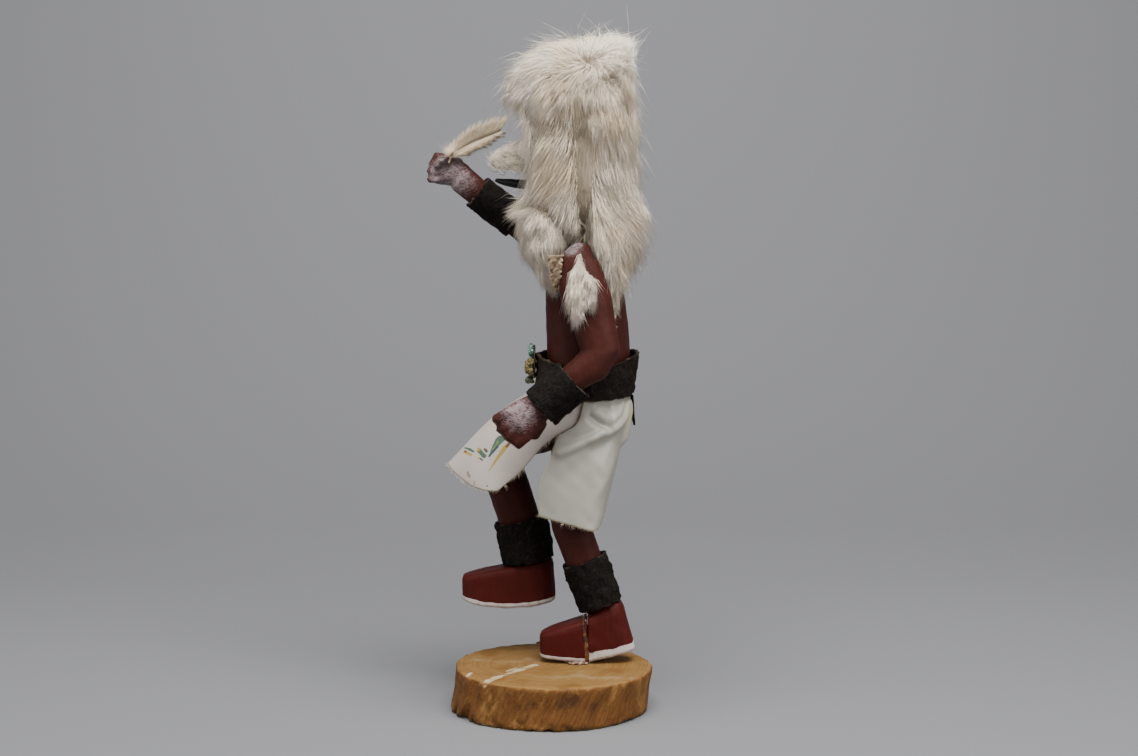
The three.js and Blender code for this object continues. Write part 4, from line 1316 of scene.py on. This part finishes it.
DASH = dash_group()
DASH_GRID = (81, 73)
GREEN, BLUE, YELLOW = (0.018, 0.075, 0.042), (0.012, 0.04, 0.07), (0.36, 0.25, 0.03)
RUST, LIME, STAIN = (0.13, 0.05, 0.012), (0.2, 0.26, 0.05), (0.27, 0.17, 0.12)
DASHES = [
    ((23.6, 46.5), (22.6, 56.6), 2.9, 0.86, GREEN), ((21.6, 50.8), (22.2, 56.4), 0.7, 0.6, BLUE),
    ((23.4, 48.2), (23.4, 52.6), 0.36, 0.2, LIME), ((24.4, 47.6), (23.2, 49.2), 0.3, 0.0, LIME),
    ((17.4, 49.5), (16.9, 62.9), 1.45, 0.75, YELLOW), ((17.0, 46.6), (16.9, 48.4), 1.0, 0.0, RUST),
    ((46.6, 60.2), (40.8, 58.7), 0.5, 0.0, GREEN), ((40.8, 58.7), (35.2, 58.3), 0.65, 0.0, GREEN),
    ((43.6, 61.4), (35.2, 60.3), 0.85, 0.2, YELLOW), ((43.8, 61.2), (41.5, 60.9), 0.6, 0.0, RUST),
    ((32.0, 56.2), (25.2, 57.4), 1.15, 0.1, GREEN), ((33.2, 55.8), (31.8, 56.0), 0.8, 0.0, YELLOW),
    ((28.6, 59.6), (27.2, 59.3), 0.6, 0.0, YELLOW), ((27.2, 59.3), (25.0, 59.6), 0.55, 0.2, GREEN),
    ((28.4, 54.3), (26.6, 54.6), 0.75, 0.1, RUST), ((26.8, 54.6), (25.6, 54.9), 0.6, 0.1, GREEN),
    ((30.8, 68.6), (28.4, 69.6), 0.9, 0.2, STAIN), ((23.4, 70.8), (22.8, 71.6), 0.5, 0.0, STAIN),
    ((12.2, 70.4), (12.0, 70.6), 0.5, 0.0, RUST),
]


DASH_STRENGTH = 0.9


def paint_dashes(w, color, spot, dashes):
    for start, end, half_width, taper, paint in dashes:
        values = {"Spot": spot, "Start": (*start, 0), "End": (*end, 0), "Half Width": half_width,
                  "Taper": taper}
        stroke = place_group(w, DASH, values)["Mask"]
        color = w.blend(w.times(stroke, DASH_STRENGTH), color, paint)
    return color


# %% Finish the apron
APRON_LEATHER, apron_w, apron_shader = white_leather(
    "felted white leather", (0.47, 0.405, 0.36), (0.42, 0.34, 0.24), 0.7, 0.25)
cut = apron_w.node("ShaderNodeUVMap", uv_map="cut").outputs[0]
on_sheet = apron_w.stretch(cut, (*DASH_GRID, 0))
plain = apron_shader.inputs["Base Color"].links[0].from_socket
apron_w.put(apron_shader.inputs["Base Color"], paint_dashes(apron_w, plain, on_sheet, DASHES))
fuzz_edge(apron, "apron_fuzz", 1300, 1.5)
dress(apron, APRON_LEATHER, replaced=["apron"])

# %% [markdown]
# ## The slab
#
# The slab is end grain on top and long grain on its wall. One material shows both: a
# stored mask tells the wall from the top, so that rings, fibres and bark stains each stay
# where they belong, and near-black clefts on the wall are painted shade. A long and a short
# dribble of milky paint have dried on the top, and a thin drying crack runs in from its
# rim, drawn only as a dark line of painted shade. Both are dashes, as on the apron.

# %% The slab's wood
# CRACK_SHADE is painted shade: the dark line of a drying crack drawn on the flat top.
MILK, CRACK_SHADE = (0.43, 0.335, 0.2), (0.06, 0.03, 0.012)
SPILLS_AND_CRACK_SHADE = [
    ((45.3, -39.6), (31, -31), 2.4, 0.0, MILK), ((31, -31), (15, -20), 1.6, 0.1, MILK),
    ((15, -20), (1.7, -10.6), 2.6, 0.2, MILK), ((28.7, -49.3), (21.4, -46.8), 1.4, 0.2, MILK),
    ((17, -26), (9, -21), 1.2, 0.4, MILK),
    ((-33, 47.5), (-50, 41), 0.45, 0.3, CRACK_SHADE), ((-50, 41), (-62, 35), 0.35, 0.6, CRACK_SHADE),
]


PALE_RING, DARK_RING = (0.215, 0.116, 0.033), (0.157, 0.077, 0.017)
DAMP_STAIN, BLEACHED = (0.148, 0.064, 0.011), (0.235, 0.148, 0.062)
DARK_FIBRE, PALE_FIBRE = (0.110, 0.038, 0.007), (0.185, 0.075, 0.0155)
# CLEFT_SHADE is near-black painted shade for splits along the slab's wall.
SPLINTER, CLEFT_SHADE = (0.28, 0.14, 0.036), (0.055, 0.021, 0.006)
BARK_STAIN, BARK = (0.06, 0.024, 0.007), (0.03, 0.016, 0.009)


def slab_wood():
    material, w, shader = start_material("slab wood", Specular_IOR_Level=0.25)
    where = w.place()
    warp = w.cloud(where, 22.0, 3.0)
    bent = w.vector("ADD", where, w.scaled(w.vector("SUBTRACT", warp, (0.5, 0.5, 0.5)), 0.014))
    reach = w.vector("LENGTH", w.stretch(bent, (1, 1, 0)))
    ring = w.noise(w.node("ShaderNodeCombineXYZ", {"X": reach}).outputs[0], 520, 3, 0.7)
    up = w.axes(where)["Z"]
    lean = w.vector("ADD", where, w.scaled((0.1, -0.5, 0), up))
    grain = w.noise(w.stretch(lean, (700, 700, 40)), 1.0, 5, 0.7)
    broad = w.noise(w.stretch(lean, (75, 75, 40)), 1.0, 5, 0.65)
    blotch = w.noise(where, 42, 5, 0.65)
    fleck = w.noise(where, 900, 3)
    smear = w.noise(w.stretch(where, (260, 60, 200)), 1.0, 4, 0.7)
    top = w.blend(w.step(ring, 0.36, 0.64), PALE_RING, DARK_RING)
    top = w.blend(w.step(blotch, 0.5, 0.66), top, DAMP_STAIN)
    top = w.blend(w.step(blotch, 0.46, 0.34), top, BLEACHED)
    # The spills and the crack's painted shade are dashes, shown where the smear noise allows.
    spills_and_crack_shade = paint_dashes(w, top, w.scaled(where, 1 / MM), SPILLS_AND_CRACK_SHADE)
    top = w.blend(w.step(smear, 0.34, 0.54), top, spills_and_crack_shade)
    wall = w.blend(w.step(grain, 0.3, 0.7), DARK_FIBRE, PALE_FIBRE)
    wall = w.blend(w.step(broad, 0.50, 0.66), wall, SPLINTER)
    # Near-black clefts between the broad streaks: painted shade of splits in the wall.
    wall = w.blend(w.times(w.step(broad, 0.42, 0.30), 0.85), wall, CLEFT_SHADE)
    wall = w.blend(w.times(w.step(blotch, 0.56, 0.66), 0.8), wall, BARK_STAIN)
    shade = w.blend(mask(w, "wall"), top, wall)
    shade = w.blend(mask(w, "bark"), shade, BARK)
    shade = w.scaled(shade, w.line(fleck, 0.5, 0.75))
    coat(w, shader, shade, w.line(fleck, 0.2, 0.62))
    relief = w.line(w.times(grain, mask(w, "wall")), 1.2, w.times(fleck, 0.3))
    bump(w, shader, relief, 0.8, 0.7)
    return material


# %% Saw and tear the slab
slab = worked_copy("base_slab", "slab_of_wood", 1.3, 2)
p, n = points_of(slab) / MM, normals_of(slab)
wall = ease((0.75 - np.abs(n[:, 2])) / 0.3)
out = np.hypot(p[:, 0], p[:, 1])
leaning = (p + np.array([0.1, -0.5, 0]) * p[:, 2:]) * MM * np.array([1, 1, 0.15])
fibre = soft_noise(leaning, 2.2, 61) * 0.09 + soft_noise(leaning, 11, 62) * 0.4
torn = np.maximum(soft_noise(p * MM, 7, 64), 0) * -1.1 * bump_at(p[:, 2], 0, 5) * ease((out - 48) / 6)
saw = soft_noise(p * MM, 6, 63) * 0.07 + soft_noise(p * MM * np.array([1, 0.15, 1]), 1.6, 65) * 0.05
ragged = soft_noise(p * MM, 6, 66) * 0.2 * ease((out - 54) / 2) * (p[:, 2] > 20)
bark = ease((soft_noise(p * MM, 12, 67) - 0.1) * 3) * ease((out - 55.2) / 1.2)
bark = bark * ease((p[:, 2] - 19) / 4) * ease((-18 - p[:, 0]) / 14)
spots = points_of(slab) + n * ((fibre * wall + saw * (1 - wall) + torn) * MM)[:, None]
spots[:, 2] += (ragged + 1.4 * bark) * MM
spots[:, 2] = np.maximum(spots[:, 2], 0)
move_points(slab, spots)
paint_mask(slab, "wall", wall)
paint_mask(slab, "bark", bark)
dress(slab, slab_wood(), replaced=["base_slab"])

# %% [markdown]
# ## The buckle, its stones and the raw hide
#
# A dull silver plate carries four rough stones. Stones that were only smoothed would look
# moulded, so each one is moved in and out by two noises and veined by its material. The
# strip of raw hide at the collar is torn, not cut, so its two sides follow sums of sines.

# %% Buckle and stones
METAL, metal_w, metal_shader = start_material("dull silver", Metallic=0.8)
where = metal_w.place()
tarnish = metal_w.noise(where, 500, 4)
silver = metal_w.blend(tarnish, (0.10, 0.085, 0.06), (0.02, 0.016, 0.011))
coat(metal_w, metal_shader, silver, metal_w.line(tarnish, 0.4, 0.4))
plate = carve("buckle_plate", 0.5, rounds=3, chatter=0.15, seed=81)
dress(plate, METAL, replaced=["buckle_plate"])


def stone_material(name, light, dark):
    material, w, shader = start_material(name, Specular_IOR_Level=0.5)
    where = w.place()
    values = {"Vector": where, "Scale": 420.0}
    vein = w.node("ShaderNodeTexVoronoi", values, feature="DISTANCE_TO_EDGE").outputs["Distance"]
    cloud = w.noise(where, 600, 4, 0.65)
    matrix = w.math("MAXIMUM", w.step(vein, 0.14, 0.02), w.step(cloud, 0.55, 0.72))
    coat(w, shader, w.blend(matrix, light, dark), w.line(matrix, 0.4, 0.25))
    bump(w, shader, w.minus(1.0, matrix), 0.5, 0.2)
    return material


STONES = {
    "turquoise_stone_top": ((0.17, 0.33, 0.27), (0.03, 0.035, 0.02), 1.0),
    "amber_stone_left": ((0.20, 0.155, 0.05), (0.045, 0.035, 0.01), 1.25),
    "turquoise_stone_right": ((0.17, 0.3, 0.25), (0.05, 0.045, 0.02), 1.1),
    "green_stone_bottom": ((0.13, 0.15, 0.075), (0.035, 0.03, 0.012), 1.0),
}
for seed, (node, (light, dark, lumpy)) in enumerate(STONES.items()):
    piece = carve(node, 0.3, rounds=3, chatter=0.12, seed=seed + 83)
    spots = points_of(piece)
    lumps = soft_noise(spots, 2.6, seed + 87) * 0.5 + soft_noise(spots, 1.2, seed + 88) * 0.22
    press_out(piece, lumps * lumpy)
    stone = stone_material(node.replace("_", " "), light, dark)
    dress(piece, stone, replaced=[node])

# %% Belt tail and raw hide
tail = carve("belt_tail", 0.35, rounds=3, chatter=0.15, seed=91)
dress(tail, DARK_LEATHER, replaced=["belt_tail"])
RAW_PALE, RAW_DARK, RAW_EDGE = (0.31, 0.22, 0.13), (0.17, 0.11, 0.065), (0.42, 0.34, 0.23)
RAW, raw_w, raw_shader = start_material("raw hide", Roughness=0.85)
where = raw_w.place()
flake = raw_w.noise(where, 420, 5, 0.7)
raw_color = raw_w.blend(raw_w.step(flake, 0.36, 0.64), RAW_PALE, RAW_DARK)
raw_color = raw_w.blend(raw_w.times(mask(raw_w, "edge"), 0.35), raw_color, RAW_EDGE)
coat(raw_w, raw_shader, raw_color)
bump(raw_w, raw_shader, flake, 0.6, 0.4)


TEAR_WAY, BUCKLE_WAY = np.array([0.56, 0.83, 0.1]), np.array([0.83, -0.56, 0])


def torn_patch(down, across):
    """A wrinkled strip torn off at both sides, wide at the top and narrow at the bottom."""
    middle = smooth_path([(12.6, 1.2, 263), (13.2, 1.6, 256), (12, 2.2, 249), (9.6, 3.4, 242.5)])(down)
    half = np.interp(down, (0, 0.35, 0.7, 1), (4.6, 4.2, 3.0, 0.8))
    tear = 0.7 * np.sin(31 * down + 2 * across) * np.sin(13 * down + 1) + 0.4 * np.sin(57 * down)
    wide = (2 * across - 1) * half + tear
    buckled = 0.7 * np.sin(9 * down + 5 * across) + 0.5 * np.sin(21 * down + 9 * across + 1)
    return middle + wide[..., None] * TEAR_WAY + buckled[..., None] * BUCKLE_WAY


raw, _ = flat_sheet("collar_hide_torn", torn_patch, 60, 20)
press_out(raw, soft_noise(points_of(raw), 1.6, 93) * 0.25)
dress(raw, RAW, replaced=["collar_hide"])

# %% [markdown]
# ## The plume
#
# A plume is a tapering quill with hundreds of barbs that lean forward and cling together
# in groups. The barbs are grown with the same tree as the hair, from a narrow ribbon laid
# along the quill, so they split into groups where the locks pull them together.

# %% Quill and barbs
FEATHER_X = -79.5
QUILL = [(FEATHER_X, y, z) for y, z in (
    (-62.5, 311), (-60.7, 315.3), (-55.1, 318.9), (-48.7, 322.6), (-40.8, 326), (-31.5, 329.9))]
PLUME = fur_material("plume", (0.56, 0.46, 0.32), (0.37, 0.28, 0.17))
quill = tube("feather_quill", QUILL, (0.6, 0.5, 0.35, 0.2, 0.08), (0.7, 0.55, 0.4, 0.25, 0.08))


def barb_ribbon(above):
    """A thin ribbon on one side of the quill that carries the barbs' lie and length."""
    rows, columns = 60, 3
    t, wide = np.meshgrid(np.linspace(0.14, 1, rows), np.linspace(0, 1, columns), indexing="ij")
    path = smooth_path(QUILL)
    heading = unit(path(np.clip(t + 0.02, 0, 1)) - path(np.clip(t - 0.02, 0, 1)))
    outward = np.cross(heading, [1.0, 0, 0]) * (-1 if above else 1)
    points = path(t) + outward * (wide * 0.5)[..., None]
    ribbon = mesh_piece("ribbon", points.reshape(-1, 3), grid_faces(rows, columns))
    if above:
        reach, spread = np.interp(t, (0.14, 0.3, 0.55, 0.8, 1), (4.5, 10, 13, 12, 9)), 1.0 - 0.3 * t
    else:
        reach, spread = np.interp(t, (0.14, 0.3, 0.6, 0.85, 1), (3, 8, 9, 7, 4)), 0.75 - 0.3 * t
    lie = unit(outward * spread[..., None] + heading * (1.2 - 0.4 * spread)[..., None])
    store_flow(ribbon, lie.reshape(-1, 3))
    set_hair(ribbon, reach.ravel(), 0.06)
    return ribbon, t.ravel()


for above, name in ((True, "feather_barbs_upper"), (False, "feather_barbs_lower")):
    ribbon, along = barb_ribbon(above)
    barbs = {"Segments": 3, "Width": 0.00028, "Wave": 0.35, "Frizz": 0.07, "Lock Size": 0.0032,
             "Droop": 0.1 - 0.25 * above, "Seed": 43 + above}
    grow(ribbon, name, "plume", PLUME, 1.1 - 0.35 * along, 900, **barbs)
    set_hair(ribbon, 6.5, 0.7)
    fluff = {"Width": 0.00013, "Wave": 0.9, "Frizz": 0.8, "Settle": 0.2, "Droop": 0.5,
             "Seed": 48 + above}
    grow(ribbon, name.replace("barbs", "down"), "plume", FUR, ease((0.3 - along) / 0.12), 220, **fluff)
    bpy.data.objects.remove(ribbon)
dress(quill, PLUME, replaced=["feather"])

# %% [markdown]
# ## The glued boot
#
# The standing boot was broken or made in two blocks and glued. Amber glue has run down
# the joint and set in a lump under the ball of the foot. Glue is clear and glossy, so the
# run is a thin raised tube with a clear coat, laid on the paint, with a wide flat film of
# the same glue behind it. The lump has gone dull and pale.

# %% Glue
GLUE, glue_w, glue_shader = start_material(
    "amber glue", Roughness=0.2, Coat_Weight=0.5, Coat_Roughness=0.1)
where = glue_w.place()
clot = glue_w.step(glue_w.noise(where, 190, 3), 0.5, 0.64)
coat(glue_w, glue_shader, glue_w.blend(clot, (0.035, 0.009, 0.004), (0.14, 0.043, 0.012)))
RUN = [(-0.2, 17.4, 54.5), (0.0, 17.2, 51), (0.0, 17.6, 45), (0.0, 18.9, 38), (0.05, 19.4, 31),
       (-0.3, 19.6, 26.6)]
FILM = [(-9.3, 18.6, 51), (-9.3, 18.6, 47), (-9.2, 18.9, 43.3), (-9.1, 19.9, 38), (-9, 20.4, 30.9),
        (-9, 20.4, 27)]
LUMP = [(-6, 7, 26.0), (-1.5, 10, 26.1), (0.4, 13.5, 26.3), (-0.8, 18, 26.1), (-7, 21, 25.9)]
run = tube("glue_run", RUN, (0.3, 0.45, 0.4, 0.45, 0.6, 0.5), (0.5, 0.6, 0.75, 1.1, 1.4, 1.1),
           rings=60, sides=14)
press_out(run, soft_noise(points_of(run), 4, 96) * 0.16)
dress(run, GLUE)
film = tube("glue_film", FILM, (8.5, 9.1, 9.1), (0.8, 1.4, 1.4), rings=40, sides=24)
dress(film, GLUE)
crumbs = tube("glue_lump", LUMP, (1.0, 1.8, 2.6, 2.0, 0.8), (0.4, 0.6, 0.9, 0.7, 0.4),
              rings=60, sides=24)
press_out(crumbs, soft_noise(points_of(crumbs), 2.2, 97) * 0.45)
PALE_GLUE, pale_w, pale_shader = start_material("set glue", Roughness=0.4, Coat_Weight=0.25)
where = pale_w.place()
speckle = pale_w.step(pale_w.noise(where, 420, 4), 0.4, 0.6)
coat(pale_w, pale_shader, pale_w.blend(speckle, (0.33, 0.2, 0.15), (0.12, 0.055, 0.03)))
dress(crumbs, PALE_GLUE)

# %% [markdown]
# ## The studio
#
# A sheet of grey paper curves up behind the doll, under one large lamp from above and two
# weaker ones, so that shadows stay soft. The sweep is a stage, so it isn't part of the doll.

# %% Lamps and room
LAMP_AIM = Vector((0, 0, 0.2))
GREY, ROOM_LIGHT = (0.176, 0.176, 0.183, 1), (0.5, 0.51, 0.53, 1)


def area_light(name, place, size, power, aim=LAMP_AIM):
    light = bpy.data.lights.new(name, "AREA")
    light.shape = "DISK"
    light.size = size
    light.energy = power
    lamp = bpy.data.objects.new(name, light)
    scene.collection.objects.link(lamp)
    lamp.location = place
    lamp.rotation_euler = (aim - Vector(place)).to_track_quat("-Z", "Y").to_euler()


area_light("overhead", (0.35, 0.08, 1.15), 1.0, 31)
area_light("fill", (1.1, 1.2, 0.8), 1.0, 13)
area_light("front", (0.4, -1.5, 0.6), 0.8, 7)
area_light("backdrop", (-0.5, 0, 1.3), 0.8, 16, aim=Vector((-1.6, 0, 1.2)))

world = bpy.data.worlds.new("room")
scene.world = world
world.use_nodes = True
world.node_tree.nodes["Background"].inputs[0].default_value = ROOM_LIGHT
world.node_tree.nodes["Background"].inputs[1].default_value = 0.62

# %% The paper
PAPER_NEAR, PAPER_BEND, BEND_RADIUS, PAPER_TOP, HALF_WIDTH, BEND_STEPS = 2.5, -0.6, 0.9, 3.5, 4, 12


def sweep():
    """A grey paper sweep: flat under the doll, curving up far behind it."""
    profile = [(PAPER_NEAR, 0.0), (PAPER_BEND, 0.0)]
    for step in range(1, BEND_STEPS + 1):
        angle = math.pi / 2 * step / BEND_STEPS
        back, rise = BEND_RADIUS * math.sin(angle), BEND_RADIUS * (1 - math.cos(angle))
        profile.append((PAPER_BEND - back, rise))
    profile.append((PAPER_BEND - BEND_RADIUS, PAPER_TOP))
    verts = [(x, side * HALF_WIDTH, z) for x, z in profile for side in (-1, 1)]
    faces = [(2 * k, 2 * k + 2, 2 * k + 3, 2 * k + 1) for k in range(len(profile) - 1)]
    mesh = bpy.data.meshes.new("sweep")
    mesh.from_pydata(verts, [], faces)
    paper, _, shader = start_material("paper", Roughness=0.9, Base_Color=GREY)
    mesh.materials.append(paper)
    for face in mesh.polygons:
        face.use_smooth = True
    new_piece("sweep", mesh)


sweep()

# %% [markdown]
# ## Close the frame
#
# The triangles of every piece that this script made are counted.

# %% Count the triangles
def triangles(piece):
    return sum(len(face.vertices) - 2 for face in piece.data.polygons)


made = [piece for piece in scene.objects if piece.type == "MESH" and piece.name not in nodes]
shown = {piece.name: triangles(piece) for piece in made}
for name, count in sorted(shown.items(), key=lambda item: -item[1]):
    print(name, count, "triangles")
print("all pieces", sum(shown.values()), "triangles")
